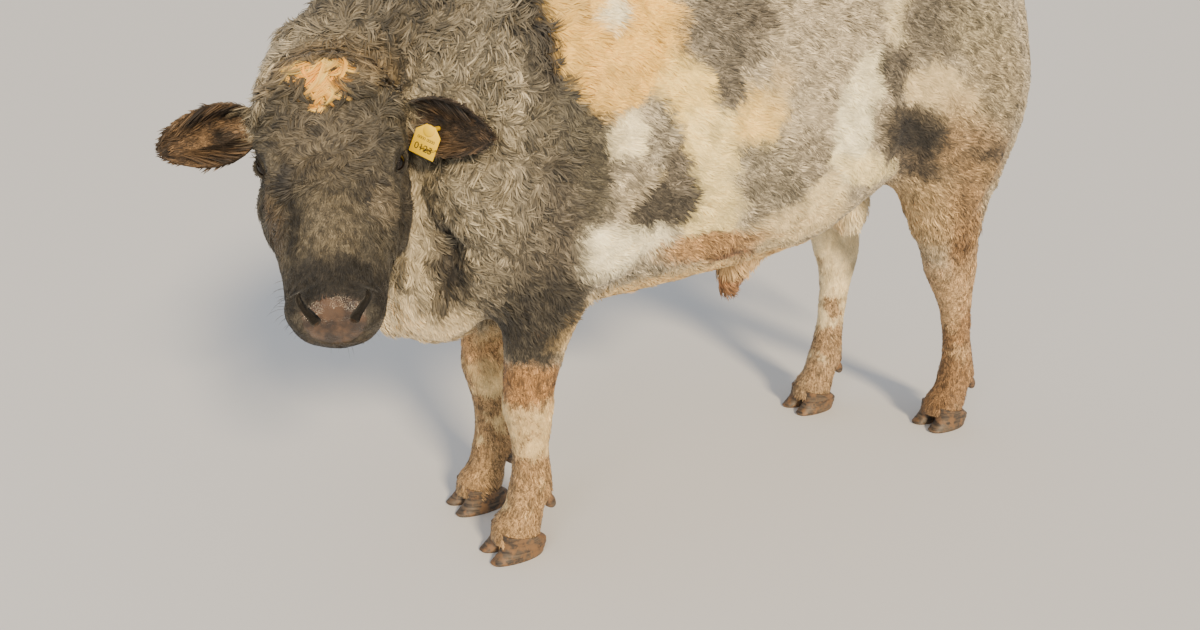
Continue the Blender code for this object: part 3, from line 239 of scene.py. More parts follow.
# Masses on both sides of the head, in its own frame: centre, radii
HEAD_PAIRS = (
    ((0.096, -0.168, -0.026), (0.043, 0.056, 0.032)),
    ((0.084, -0.200, -0.138), (0.056, 0.120, 0.090)),
    ((0.085, -0.060, -0.035), (0.065, 0.060, 0.050)),
    ((0.050, -0.482, -0.062), (0.038, 0.044, 0.036)),
    ((0.046, -0.440, -0.110), (0.040, 0.060, 0.034)),
    ((0.062, -0.300, -0.085), (0.030, 0.090, 0.040)),
)
HEAD_MIDDLE = (
    ((0.0, -0.012, -0.006), (0.112, 0.066, 0.050)),
    ((0.0, -0.320, -0.034), (0.056, 0.190, 0.028)),
    ((0.0, -0.500, -0.100), (0.072, 0.034, 0.030)),
    ((0.0, -0.462, -0.145), (0.056, 0.052, 0.026)),
)

# Eyelids: rise of the lid's edge over the eye's middle in degrees, thickness
LIDS = ((34.0, 0.0034), (-28.0, 0.0028))
LID_SPAN = 49.0
LID_LIFT = 0.0030
LID_FIT = (54.0, 42.0)       # degrees round the eye, along and across it, over which skin lies on the ball
FISSURE = (48.0, 31.0, 24.0)  # opening between the lids: half length, rise, fall, in degrees

# Slit of one nostril in the head's own frame, laid on the skin: points from its outer top to its inner end,
# with the half width there
NOSTRIL = (
    ((0.061, -0.462, -0.022), 0.0040),
    ((0.059, -0.474, -0.028), 0.0055),
    ((0.053, -0.486, -0.036), 0.0068),
    ((0.044, -0.497, -0.045), 0.0082),
    ((0.035, -0.504, -0.055), 0.0100),
)
NOSTRIL_STEPS = 4            # pieces of the slit between two points
NOSTRIL_VOXEL = 0.0011       # grid that fuses them
MOUTH_FRONT = 0.527
MOUTH_LENGTH = 0.105
MOUTH_HALF = 0.074
MOUTH_LEVEL = -0.124

EAR_ALONG = (0.84, -0.42, 0.14)
EAR_OPENING = (-0.12, -0.72, 0.60)
EAR_THICK = 0.009
EAR_WIDEST = 0.42            # share of the length
EAR_BASE = 0.44              # width at the root, as a share of the widest

TAG_WIDTH = 0.052
TAG_HEIGHT = 0.062
TAG_THICK = 0.0022
TAG_PLACE = (0.063, -0.022, 0.010)
TAG_TURN = math.radians(-13.0)

CLAW_TOE = 0.076
CLAW_HEEL = CLAW_LENGTH - CLAW_TOE
DEWCLAW_HEIGHT = 0.128
DEWCLAW_BEHIND = 0.085
DEWCLAW_ASIDE = 0.024
DEWCLAW_TILT = math.radians(32.0)
DEWCLAW_RINGS = (            # along the claw from its middle, half width, half depth
    (-0.022, 0.006, 0.007),
    (-0.012, 0.0125, 0.0145),
    (0.006, 0.0135, 0.0155),
    (0.020, 0.0095, 0.0100),
    (0.026, 0.0040, 0.0045),
)

# Tail, its brush, scrotum and sheath: point, half width, half depth
TAIL = (
    ((0.000, 1.36, 1.405), 0.050, 0.036),
    ((0.000, 1.45, 1.400), 0.044, 0.034),
    ((0.000, 1.525, 1.365), 0.037, 0.030),
    ((0.000, 1.575, 1.290), 0.031, 0.027),
    ((-0.002, 1.602, 1.190), 0.027, 0.025),
    ((-0.008, 1.614, 1.080), 0.025, 0.023),
    ((-0.018, 1.612, 0.960), 0.023, 0.022),
    ((-0.034, 1.598, 0.840), 0.022, 0.021),
    ((-0.052, 1.578, 0.740), 0.021, 0.020),
)
SWITCH = (
    ((-0.052, 1.578, 0.738), 0.024, 0.022),
    ((-0.055, 1.573, 0.690), 0.034, 0.030),
    ((-0.060, 1.567, 0.620), 0.043, 0.038),
    ((-0.065, 1.562, 0.540), 0.045, 0.040),
    ((-0.068, 1.558, 0.460), 0.038, 0.033),
    ((-0.070, 1.556, 0.385), 0.020, 0.018),
    ((-0.071, 1.555, 0.335), 0.005, 0.005),
)
SCROTUM = (
    ((0.000, 1.078, 0.860), 0.040, 0.040),
    ((0.000, 1.078, 0.800), 0.038, 0.036),
    ((0.000, 1.076, 0.755), 0.047, 0.042),
    ((0.000, 1.074, 0.710), 0.058, 0.050),
    ((0.000, 1.072, 0.665), 0.058, 0.051),
    ((0.000, 1.070, 0.630), 0.044, 0.040),
    ((0.000, 1.068, 0.613), 0.018, 0.017),
)
SHEATH = (
    ((0.000, 1.000, 0.775), 0.020, 0.025),
    ((0.000, 0.920, 0.735), 0.026, 0.045),
    ((0.000, 0.830, 0.690), 0.030, 0.052),
    ((0.000, 0.750, 0.650), 0.034, 0.060),
    ((0.000, 0.698, 0.605), 0.035, 0.056),
    ((0.000, 0.672, 0.555), 0.028, 0.040),
    ((0.000, 0.660, 0.518), 0.016, 0.022),
    ((0.000, 0.657, 0.503), 0.008, 0.011),
)

LOCAL_FOLDS = (              # folds in the skin of the neck and brisket: points, width, depth; minus is a ridge
    (((0.228, -0.215, 1.20), (0.222, -0.215, 1.08), (0.205, -0.225, 0.99)), 0.018, 0.007),
    (((0.262, -0.165, 1.18), (0.262, -0.165, 1.05), (0.250, -0.175, 0.94)), 0.020, 0.006),
    (((0.295, -0.085, 1.34), (0.310, -0.082, 1.20), (0.312, -0.085, 1.06), (0.292, -0.105, 0.90)), 0.018, 0.013),
    (((0.165, -0.240, 1.02), (0.150, -0.250, 0.95), (0.124, -0.250, 0.82), (0.100, -0.272, 0.69)), 0.015, -0.013),
    (((0.212, -0.205, 0.92), (0.197, -0.197, 0.81), (0.172, -0.192, 0.70)), 0.028, 0.022),
    (((0.040, -0.335, 0.86), (0.055, -0.325, 0.74), (0.060, -0.290, 0.64)), 0.014, 0.007),
    (((-0.040, -0.335, 0.86), (-0.050, -0.325, 0.74), (-0.055, -0.290, 0.64)), 0.014, 0.007),
    (((0.285, 0.075, 0.80), (0.262, 0.095, 0.72), (0.235, 0.110, 0.66)), 0.016, 0.010),
    (((0.315, 0.905, 0.90), (0.280, 0.890, 0.84), (0.225, 0.880, 0.80)), 0.020, 0.010),
)
FACE_FOLDS = (               # folds on both sides of the head, in its own frame
    (((0.070, -0.155, 0.020), (0.104, -0.160, 0.004), (0.127, -0.178, -0.018)), 0.006, 0.0030),
    (((0.062, -0.138, 0.024), (0.100, -0.140, 0.012), (0.130, -0.158, -0.008)), 0.006, 0.0024),
    (((0.100, -0.240, -0.060), (0.122, -0.222, -0.072), (0.128, -0.190, -0.082)), 0.007, 0.0030),
    (((0.092, -0.262, -0.058), (0.118, -0.244, -0.080), (0.127, -0.208, -0.098)), 0.007, 0.0022),
    (((0.086, -0.262, -0.052), (0.076, -0.330, -0.062), (0.072, -0.395, -0.072)), 0.012, -0.0035),
    (((0.060, -0.250, -0.006), (0.052, -0.330, -0.014), (0.050, -0.400, -0.020)), 0.012, 0.0030),
    (((0.100, -0.232, -0.120), (0.092, -0.272, -0.155), (0.072, -0.290, -0.195)), 0.012, 0.0050),
    (((0.034, -0.448, -0.018), (0.064, -0.454, -0.036), (0.080, -0.472, -0.072)), 0.006, 0.0030),
    (((0.040, -0.432, -0.014), (0.070, -0.438, -0.034), (0.084, -0.456, -0.070)), 0.006, 0.0024),
    (((0.024, -0.500, -0.042), (0.040, -0.484, -0.030), (0.056, -0.464, -0.024)), 0.006, -0.0030),
    (((0.104, -0.236, -0.072), (0.124, -0.212, -0.084), (0.130, -0.180, -0.086)), 0.005, 0.0022),
    (((0.060, -0.500, -0.104), (0.078, -0.470, -0.112), (0.082, -0.430, -0.122)), 0.006, 0.0026),
    (((0.000, -0.515, -0.060), (0.000, -0.529, -0.095), (0.000, -0.526, -0.120)), 0.004, 0.0030),
)


# Making and joining meshes

def link_new(name, data):
    """A new object in the scene."""
    obj = bpy.data.objects.new(name, data)
    bpy.context.scene.collection.objects.link(obj)
    return obj


def add_object(name, bm):
    """Turn a bmesh into a scene object whose faces point outwards."""
    bmesh.ops.recalc_face_normals(bm, faces=bm.faces)
    mesh = bpy.data.meshes.new(name)
    bm.to_mesh(mesh)
    bm.free()
    return link_new(name, mesh)


def bake(obj):
    """Replace an object's mesh by what its modifiers make of it."""
    graph = bpy.context.evaluated_depsgraph_get()
    mesh = bpy.data.meshes.new_from_object(obj.evaluated_get(graph))
    obj.modifiers.clear()
    obj.data = mesh
    return obj


def fuse(obj, grid):
    """Make one closed skin of the shapes that run into each other."""
    remesh = obj.modifiers.new("fuse", "REMESH")
    remesh.mode = "VOXEL"
    remesh.voxel_size = grid
    bake(obj)


def coords(mesh):
    points = np.empty(len(mesh.vertices) * 3, dtype=np.float32)
    mesh.vertices.foreach_get("co", points)
    return points.reshape(-1, 3).astype(np.float64)


def normals_of(mesh):
    values = np.empty(len(mesh.vertices) * 3, dtype=np.float32)
    mesh.vertex_normals.foreach_get("vector", values)
    return values.reshape(-1, 3).astype(np.float64)


def set_coords(mesh, points):
    mesh.vertices.foreach_set("co", points.astype(np.float32).ravel())
    mesh.update()


def smoothstep(low, high, value):
    share = np.clip((value - low) / (high - low), 0.0, 1.0)
    return share * share * (3.0 - 2.0 * share)


def mirrored(place, hand):
    """A place given for the left side, on the side of the hand."""
    return Vector((place[0] * hand, place[1], place[2]))


def in_frame(points, frame):
    """Points in a frame's own coordinates."""
    return (points - np.array(frame.translation)) @ np.array(frame.to_3x3())


def ellipsoid(bm, centre, radii):
    shape = Matrix.Translation(centre) @ Matrix.Diagonal((*radii, 1.0))
    bmesh.ops.create_icosphere(bm, subdivisions=4, radius=1.0, matrix=shape)


def ring(centre, side, lift, across, up, down, round_up=2.3, round_down=2.3, count=RING_POINTS):
    """Points of a closed, egg-like section; a higher rounding number makes it squarer."""
    points = []
    for step in range(count):
        angle = 2.0 * math.pi * (step + 0.5) / count
        cosine = math.cos(angle)
        sine = math.sin(angle)
        power = 2.0 / (round_up if sine > 0 else round_down)
        wide = math.copysign(abs(cosine) ** power, cosine) * across
        high = math.copysign(abs(sine) ** power, sine) * (up if sine > 0 else down)
        points.append(Vector(centre) + side * wide + lift * high)
    return points


def loft(bm, rings):
    """Skin a row of rings with quads and close both ends with a fan."""
    rows = [[bm.verts.new(point) for point in points] for points in rings]
    count = len(rows[0])
    for first, second in zip(rows, rows[1:]):
        for step in range(count):
            after = (step + 1) % count
            bm.faces.new((first[step], first[after], second[after], second[step]))
    for row in (rows[0], rows[-1]):
        hub = bm.verts.new(sum((vert.co for vert in row), Vector()) / count)
        for step in range(count):
            bm.faces.new((row[step], row[(step + 1) % count], hub))


def between_rows(rows, steps):
    """Rows of numbers, with smooth rows put in between them."""
    table = np.array([np.concatenate([np.ravel(part) for part in row]) for row in rows], dtype=float)
    table = np.vstack([2 * table[0] - table[1], table, 2 * table[-1] - table[-2]])
    smooth = []
    for place in range(1, len(table) - 2):
        before, first, second, after = table[place - 1:place + 3]
        for step in range(steps):
            t = step / steps
            smooth.append(0.5 * (2 * first + (second - before) * t
                                 + (2 * before - 5 * first + 4 * second - after) * t * t
                                 + (3 * first - before - 3 * second + after) * t ** 3))
    smooth.append(table[-2])
    return smooth


def join_by_boolean(obj, others, operation):
    """Apply one Boolean between an object and a collection of closed meshes, which are then removed."""
    group = bpy.data.collections.new("operands")
    bpy.context.scene.collection.children.link(group)
    for other in others:
        group.objects.link(other)
    modifier = obj.modifiers.new("join", "BOOLEAN")
    modifier.operation = operation
    modifier.operand_type = "COLLECTION"
    modifier.collection = group
    modifier.solver = "MANIFOLD"
    bake(obj)
    for other in others:
        bpy.data.objects.remove(other, do_unlink=True)
    bpy.data.collections.remove(group)
    return obj


def soften(mesh, weights, rounds):
    """Move each vertex towards the middle of its neighbours, as far as its weight says."""
    points = coords(mesh)
    edges = np.empty(len(mesh.edges) * 2, dtype=np.int32)
    mesh.edges.foreach_get("vertices", edges)
    tail, tip = edges.reshape(-1, 2).T
    size = len(points)
    links = np.maximum(np.bincount(tail, minlength=size) + np.bincount(tip, minlength=size), 1)
    for _ in range(rounds):
        total = np.empty_like(points)
        for axis in range(3):
            column = points[:, axis]
            total[:, axis] = np.bincount(tail, column[tip], size) + np.bincount(tip, column[tail], size)
        points += (total / links[:, None] - points) * weights[:, None]
    set_coords(mesh, points)


def surface_tree(mesh):
    bm = bmesh.new()
    bm.from_mesh(mesh)
    tree = BVHTree.FromBMesh(bm)
    bm.free()
    return tree


def in_egg(points, centre, radii):
    """Distance from an egg's middle, as a share of its size."""
    return np.linalg.norm((points - np.array(centre)) / np.array(radii), axis=1)


def distance_to_line(points, line):
    """Distance of each point from a line of straight pieces."""
    nearest = np.full(len(points), 1e9)
    for first, second in zip(line, line[1:]):
        start = np.array(first)
        run = np.array(second) - start
        share = np.clip((points - start) @ run / (run @ run), 0.0, 1.0)
        nearest = np.minimum(nearest, np.linalg.norm(points - start - share[:, None] * run, axis=1))
    return nearest


def waves(points, scale, seed, count=14):
    """Smooth noise between about -1 and 1, with bumps of about the size of the scale."""
    draw = np.random.default_rng(seed)
    turns = draw.normal(size=(count, 3))
    turns /= np.linalg.norm(turns, axis=1)[:, None]
    turns *= (draw.uniform(0.6, 1.5, count) * math.pi / scale)[:, None]
    phases = draw.uniform(0.0, 2.0 * math.pi, count)
    return np.sin(points @ turns.T + phases).sum(axis=1) / math.sqrt(count)


# The body in one piece

def head_frame():
    turn = Matrix.Rotation(HEAD_TURN, 4, "Z") @ Matrix.Rotation(HEAD_DROP, 4, "X")
    return Matrix.Translation(POLL) @ turn


HEAD_AXES = np.array(head_frame().to_3x3())
HEAD_MIDDLE_POINT = np.array(head_frame() @ Vector((0.0, -0.25, -0.08)))


def to_head(points):
    """Points in the head's own frame."""
    return (points - np.array(POLL)) @ HEAD_AXES


def head_share(points):
    """1 on the head, 0 away from it."""
    local = to_head(points) - np.array((0.0, -0.27, -0.09))
    reach = np.linalg.norm(local / np.array((0.165, 0.300, 0.165)), axis=1)
    return smoothstep(1.12, 0.98, reach)


def torso_rings():
    side = Vector((1.0, 0.0, 0.0))
    lift = Vector((0.0, 0.0, 1.0))
    for place, top, bottom, half, widest in TORSO:
        yield ring((0.0, place, widest), side, lift, half, top - widest, widest - bottom, 2.5, 2.2)


def neck_rings():
    centres = [Vector(row[0]) for row in NECK]
    lift = Vector((0.0, 0.0, 1.0))
    for step, (_, half, up, down) in enumerate(NECK):
        ahead = centres[min(step + 1, len(NECK) - 1)]
        behind = centres[max(step - 1, 0)]
        side = (behind - ahead).cross(lift).normalized()
        yield ring(centres[step], side, lift, half, up, down, 2.1, 1.75)


def leg_rings(stations, shift=(0.0, 0.0), mirror=1.0):
    side = Vector((1.0, 0.0, 0.0))
    back = Vector((0.0, 1.0, 0.0))
    for height, across, place, half, depth in stations:
        yield ring((across * mirror + shift[0], place + shift[1], height), side, back, half, depth, depth)


def head_rings():
    side = Vector((1.0, 0.0, 0.0))
    lift = Vector((0.0, 0.0, 1.0))
    for distance, half, top, bottom, widest in HEAD:
        yield ring((0.0, -distance, widest), side, lift, half, top - widest, widest - bottom, 2.6, 2.0)


def build_masses():
    """Every mass of the head, torso, neck and legs, as closed shapes that run into each other."""
    bm = bmesh.new()
    loft(bm, list(head_rings()))
    for centre, radii in HEAD_PAIRS:
        for hand in HANDS:
            ellipsoid(bm, mirrored(centre, hand), radii)
    for centre, radii in HEAD_MIDDLE:
        ellipsoid(bm, centre, radii)
    bmesh.ops.transform(bm, matrix=head_frame(), verts=bm.verts)
    loft(bm, list(torso_rings()))
    loft(bm, list(neck_rings()))
    loft(bm, list(leg_rings(LEFT_FORE)))
    loft(bm, list(leg_rings(LEFT_FORE, RIGHT_FORE_SHIFT, -1.0)))
    loft(bm, list(leg_rings(LEFT_HIND)))
    loft(bm, list(leg_rings(RIGHT_HIND)))
    for centre, radii in PAIRED_MASSES:
        for hand in HANDS:
            ellipsoid(bm, mirrored(centre, hand), radii)
    for centre, radii in MIDDLE_MASSES:
        ellipsoid(bm, centre, radii)
    return add_object("skin", bm)


def magnify_head(mesh, back):
    """Swell the space round the head, or bring it back, so that one even grid is finer there."""
    points = coords(mesh) - HEAD_MIDDLE_POINT
    reach = np.linalg.norm(points, axis=1)
    plain = (0.0, HEAD_REACH, FAR)
    swollen = (0.0, HEAD_REACH * HEAD_FINENESS, FAR + HEAD_REACH * (HEAD_FINENESS - 1.0))
    first, second = (swollen, plain) if back else (plain, swollen)
    scale = np.interp(reach, first, second) / np.maximum(reach, 1e-9)
    set_coords(mesh, points * scale[:, None] + HEAD_MIDDLE_POINT)


def carve_folds(mesh):
    """Press the creases between the muscles and the folds of the skin into the surface."""
    points = coords(mesh)
    normals = normals_of(mesh)
    depth = np.zeros(len(points))
    for line, width, deep in CREASES:
        depth += deep * np.exp(-(distance_to_line(points[:, 1:], line) / width) ** 2)
    depth *= np.clip((np.abs(points[:, 0]) - CREASE_START) / CREASE_FADE, 0.0, 1.0)
    for line, width, deep in LOCAL_FOLDS:
        depth += deep * np.exp(-(distance_to_line(points, line) / width) ** 2)
    local = to_head(points)
    folded = local.copy()
    folded[:, 0] = np.abs(folded[:, 0])
    near = np.linalg.norm(local - np.array((0.0, -0.27, -0.08)), axis=1) < 0.34
    for line, width, deep in FACE_FOLDS:
        fold = deep * np.exp(-(distance_to_line(folded[near], line) / width) ** 2)
        depth[near] += fold
    set_coords(mesh, points - normals * depth[:, None])


def coat_depth(points):
    """How far the skin lies under the solids' surface, which stands for the outside of the coat."""
    head = head_share(points)
    depth = 0.004 + 0.002 * smoothstep(0.5, 0.8, points[:, 2])
    depth += 0.003 * smoothstep(0.30, 0.05, points[:, 1]) * smoothstep(0.75, 0.95, points[:, 2])
    face = 0.0030 + 0.004 * smoothstep(-0.14, -0.03, to_head(points)[:, 1])
    return depth * (1.0 - head) + face * head


def shape_lids(mesh):
    """Draw the skin round each eye over the ball, so that it can become lids with a furrow round them."""
    points = coords(mesh)
    for hand in HANDS:
        frame = eye_frame(hand)
        axes = np.array(frame.to_3x3())
        local = in_frame(points, frame)
        reach = np.linalg.norm(local, axis=1)
        along = np.degrees(np.arctan2(local[:, 0], local[:, 2])) / LID_FIT[0]
        across = np.degrees(np.arctan2(local[:, 1], local[:, 2])) / LID_FIT[1]
        share = smoothstep(1.45, 0.90, np.hypot(along, across)) * (reach < 0.07)
        change = (EYE_RADIUS + LID_LIFT - reach) * share
        under = (local[:, 2] > -0.3 * EYE_RADIUS) & (reach + change < EYE_RADIUS + LEAST_LID)
        change[under] = EYE_RADIUS + LEAST_LID - reach[under]
        points += (local * (change / reach)[:, None]) @ axes.T
    set_coords(mesh, points)


def carve_fissure(hand):
    """A cone from the eye's middle that opens the skin between the lids."""
    wide, rise, fall = (math.radians(angle) for angle in FISSURE)
    frame = eye_frame(hand)
    rings = []
    for reach in (0.7, 1.0, 1.8):
        points = []
        for step in range(56):
            angle = 2.0 * math.pi * (step + 0.5) / 56
            along = wide * math.cos(angle)
            height = math.sin(angle)
            height = rise * height ** 0.9 if height > 0 else -fall * (-height) ** 0.9
            outward = Vector((math.sin(along) * math.cos(height), math.sin(height),
                              math.cos(along) * math.cos(height)))
            points.append(frame @ (outward * EYE_RADIUS * reach))
        rings.append(points)
    bm = bmesh.new()
    loft(bm, rings)
    return add_object("fissure", bm)


def build_body():
    skin = build_masses()
    magnify_head(skin.data, False)
    fuse(skin, SKIN_VOXEL)
    magnify_head(skin.data, True)
    points = coords(skin.data)
    from_head = np.linalg.norm(points - HEAD_MIDDLE_POINT, axis=1)
    trunk = np.clip((points[:, 2] - 0.50) / 0.20, 0.0, 1.0)
    clear = np.clip((from_head - 0.28) / 0.15, 0.0, 1.0)
    soften(skin.data, 0.6 * trunk * clear, TRUNK_ROUNDS)
    soften(skin.data, np.full(len(points), 0.5), 8)
    soften(skin.data, 0.5 * head_share(points), HEAD_ROUNDS)
    crest = in_egg(to_head(coords(skin.data)), *CREST)
    soften(skin.data, 0.6 * smoothstep(1.25, 0.85, crest), CREST_ROUNDS)
    carve_folds(skin.data)
    points = coords(skin.data)
    set_coords(skin.data, points - normals_of(skin.data) * coat_depth(points)[:, None])
    shape_lids(skin.data)
    return skin


# Feet

def foot_place(leg, side):
    """The middle of a foot on the floor."""
    hand = 1.0 if side == "left" else -1.0
    if leg == "foreleg":
        across, place = LEFT_FORE[-1][1:3]
        if side == "right":
            return RIGHT_FORE_SHIFT[0] - across, place + RIGHT_FORE_SHIFT[1]
        return across * hand, place
    stations = LEFT_HIND if side == "left" else RIGHT_HIND
    return stations[-1][1], stations[-1][2]


def coronet(behind):
    """Height of the line where hair meets horn, at a distance behind the middle of the foot."""
    share = (behind + CLAW_TOE) / (CLAW_TOE + CLAW_HEEL)
    return FOOT_HEIGHT + (HEEL_HEIGHT - FOOT_HEIGHT) * share


def claw_ring(middle, half, toe, heel, height=None, count=44):
    """One outline of a claw: pointed at the toe, round at the heel."""
    points = []
    for step in range(count):
        angle = 2.0 * math.pi * (step + 0.5) / count
        cosine = math.cos(angle)
        sine = math.sin(angle)
        across = math.copysign(abs(cosine) ** 0.85, cosine) * half
        along = -sine * toe if sine > 0 else -sine * heel
        level = coronet(along) - GAP / 2 if height is None else height
        points.append(Vector((middle[0] + across, middle[1] + along, level)))
    return points


def blend_rings(rings, steps):
    """Rings with smooth ones put in between."""
    flat = [np.array([point[:] for point in row]).ravel() for row in rings]
    return [[Vector(point) for point in row.reshape(-1, 3)] for row in between_rows([(r,) for r in flat], steps)]


def build_claw(name, across, place, hand):
    """One horny claw, flat where it stands, with low ridges that run round it."""
    half = CLAW_WIDTH / 2
    middle = (across + hand * (half + CLAW_SPLIT / 2), place)
    rings = (
        claw_ring(middle, half * 0.93, CLAW_TOE * 0.95, CLAW_HEEL * 0.95, 0.0),
        claw_ring(middle, half, CLAW_TOE, CLAW_HEEL, 0.005),
        claw_ring((middle[0] - hand * 0.001, place + 0.012), half * 0.97, CLAW_TOE * 0.78, CLAW_HEEL * 0.96, 0.034),
        claw_ring((middle[0] - hand * 0.002, place), half * 0.93, CLAW_TOE * 0.56, CLAW_HEEL * 0.90),
    )
    bm = bmesh.new()
    loft(bm, [rings[0]] + blend_rings(rings[1:], 8))
    claw = add_object(name, bm)
    points = coords(claw.data)
    wall = smoothstep(0.004, 0.012, points[:, 2])
    ridge = 0.0006 * np.sin(points[:, 2] * 520.0 + points[:, 1] * 160.0) * wall
    set_coords(claw.data, points - normals_of(claw.data) * (0.0006 + ridge)[:, None] * wall[:, None])
    return claw


def build_dewclaw(name, across, place, hand):
    """The small claw that stands behind the fetlock."""
    middle = Vector((across + hand * DEWCLAW_ASIDE, place, DEWCLAW_HEIGHT))
    side = Vector((1.0, 0.0, 0.0))
    down = Matrix.Rotation(DEWCLAW_TILT, 3, "X") @ Vector((0.0, 0.0, -1.0))
    back = side.cross(down)
    rings = []
    for along, half, depth in between_rows(DEWCLAW_RINGS, 4):
        rings.append(ring(middle + down * along, side, back, half * 0.97, depth * 0.97, depth * 0.97, 2.0, 2.0, 24))
    bm = bmesh.new()
    loft(bm, rings)
    return add_object(name, bm)


# Eyes, lids, nostrils and mouth

def tube(path, sides, radii, flat=1.0, count=16):
    """A closed tube along a path, with a radius at each point."""
    bm = bmesh.new()
    rings = []
    for step, centre in enumerate(path):
        ahead = path[min(step + 1, len(path) - 1)] - path[max(step - 1, 0)]
        across = ahead.cross(sides[step]).normalized()
        outward = across.cross(ahead).normalized()
        rings.append(ring(centre, across, outward, radii[step], radii[step] * flat, radii[step] * flat, 2, 2, count))
    loft(bm, rings)
    return bm


def eye_frame(hand):
    """Frame at an eye's middle: X runs forwards to the inner corner, Z looks out, Y points up the head."""
    forward = mirrored(EYE_FORWARD, hand)
    third = mirrored(EYE_OUTWARD, hand).normalized()
    first = (forward - third * forward.dot(third)).normalized()
    second = third.cross(first) * hand
    if second.z < 0:
        second = -second
    turn = Matrix((first, second, third)).transposed().to_4x4()
    return head_frame() @ Matrix.Translation(mirrored(EYE_PLACE, hand)) @ turn


def lid(hand, rise, thickness):
    """One eyelid: a band that lies on the eyeball from corner to corner."""
    frame = eye_frame(hand)
    path = []
    sides = []
    radii = []
    steps = 36
    for step in range(steps + 1):
        share = step / steps
        along = math.radians(-LID_SPAN + 2 * LID_SPAN * share)
        height = math.radians(rise) * math.sin(math.pi * share) ** 0.8
        outward = Vector((math.sin(along) * math.cos(height), math.sin(height), math.cos(along) * math.cos(height)))
        path.append(frame @ (outward * (EYE_RADIUS + LID_LIFT)))
        sides.append(frame.to_3x3() @ outward)
        radii.append(thickness * (0.75 + 0.35 * math.sin(math.pi * share)))
    return add_object("lid", tube(path, sides, radii, 0.62))


def eye_ball(name, hand, radius):
    bm = bmesh.new()
    bmesh.ops.create_uvsphere(bm, u_segments=64, v_segments=40, radius=radius)
    layer = bm.loops.layers.uv.new("Front")
    for face in bm.faces:
        for loop in face.loops:
            place = loop.vert.co / radius
            loop[layer].uv = (0.5 + place.x / 2.0, 0.5 + place.y / 2.0)
    bmesh.ops.transform(bm, matrix=eye_frame(hand), verts=bm.verts)
    return add_object(name, bm)


def carve_nostril(hand, tree):
    """A slit that follows the skin and widens towards its inner end."""
    frame = head_frame()
    bm = bmesh.new()
    for (first, half), (second, after) in zip(NOSTRIL, NOSTRIL[1:]):
        for step in range(NOSTRIL_STEPS + (second is NOSTRIL[-1][0])):
            share = step / NOSTRIL_STEPS
            aim = Vector(first).lerp(Vector(second), share)
            aim.x *= hand
            place, normal = tree.find_nearest(frame @ aim)[:2]
            reach = half + (after - half) * share
            turn = normal.to_track_quat("Z", "Y").to_matrix().to_4x4()
            scale = Matrix.Diagonal((reach, reach, reach * 1.7, 1.0))
            bmesh.ops.create_icosphere(bm, subdivisions=2, radius=1.0,
                                       matrix=Matrix.Translation(place - normal * reach * 0.5) @ turn @ scale)
    cutter = add_object("nostril", bm)
    fuse(cutter, NOSTRIL_VOXEL)
    soften(cutter.data, np.full(len(cutter.data.vertices), 0.5), 4)
    return cutter


def carve_mouth():
    """A thin wedge that follows the lips round the front of the muzzle."""
    bm = bmesh.new()
    rings = []
    steps = 64
    for step in range(steps + 1):
        angle = math.radians(-90 + 180 * step / steps)
        corner = abs(math.sin(angle)) ** 3
        reach = MOUTH_HALF * math.sin(angle)
        along = MOUTH_FRONT - MOUTH_LENGTH * (1 - math.cos(angle))
        level = MOUTH_LEVEL - 0.012 * corner
        outward = Vector((math.sin(angle), -math.cos(angle) * 0.8 - 0.2, -0.15)).normalized()
        middle = Vector((reach, -along, level))
        depth = 0.010 * (1.0 - 0.6 * corner)
        up = Vector((0.0, 0.0, 1.0))
        rings.append([middle - outward * depth, middle + outward * 0.03 - up * 0.0035,
                      middle + outward * 0.03 + up * 0.0035])
    loft(bm, rings)
    bmesh.ops.transform(bm, matrix=head_frame(), verts=bm.verts)
    return add_object("mouth", bm)


# Ears, tail and hanging parts

def ear_frame(hand):
    """Frame at an ear's root: X along the ear, Z out of its opening."""
    along = mirrored(EAR_ALONG, hand).normalized()
    opening = mirrored(EAR_OPENING, hand)
    third = (opening - along * opening.dot(along)).normalized()
    second = third.cross(along)
    turn = Matrix((along, second, third)).transposed().to_4x4()
    return head_frame() @ Matrix.Translation(mirrored(EAR_ROOT, hand)) @ turn


def ear_half_width(share):
    rise = min(1.0, share / EAR_WIDEST)
    base = EAR_BASE + (1.0 - EAR_BASE) * math.sin(rise * math.pi / 2)
    fall = max(0.0, (share - EAR_WIDEST) / (1.0 - EAR_WIDEST))
    return EAR_WIDTH / 2 * base * (1.0 - fall ** 1.9) ** 0.62


def ear_point(share, side, depth):
    """A point of the cup: share along the ear, side from -1 to 1 across, depth behind the inner face."""
    half = max(ear_half_width(share), 0.003)
    bend = math.radians(98.0 - 58.0 * share)
    radius = half / math.sin(min(bend, math.pi / 2))
    angle = side * bend
    hollow = radius * (math.cos(angle) - math.cos(bend))
    along = share * EAR_LENGTH
    across = radius * math.sin(angle) * (1.0 + depth / radius)
    below = hollow + depth * math.cos(angle)
    sag = 0.012 * math.sin(math.pi * share)
    return Vector((along, across, -below + sag))


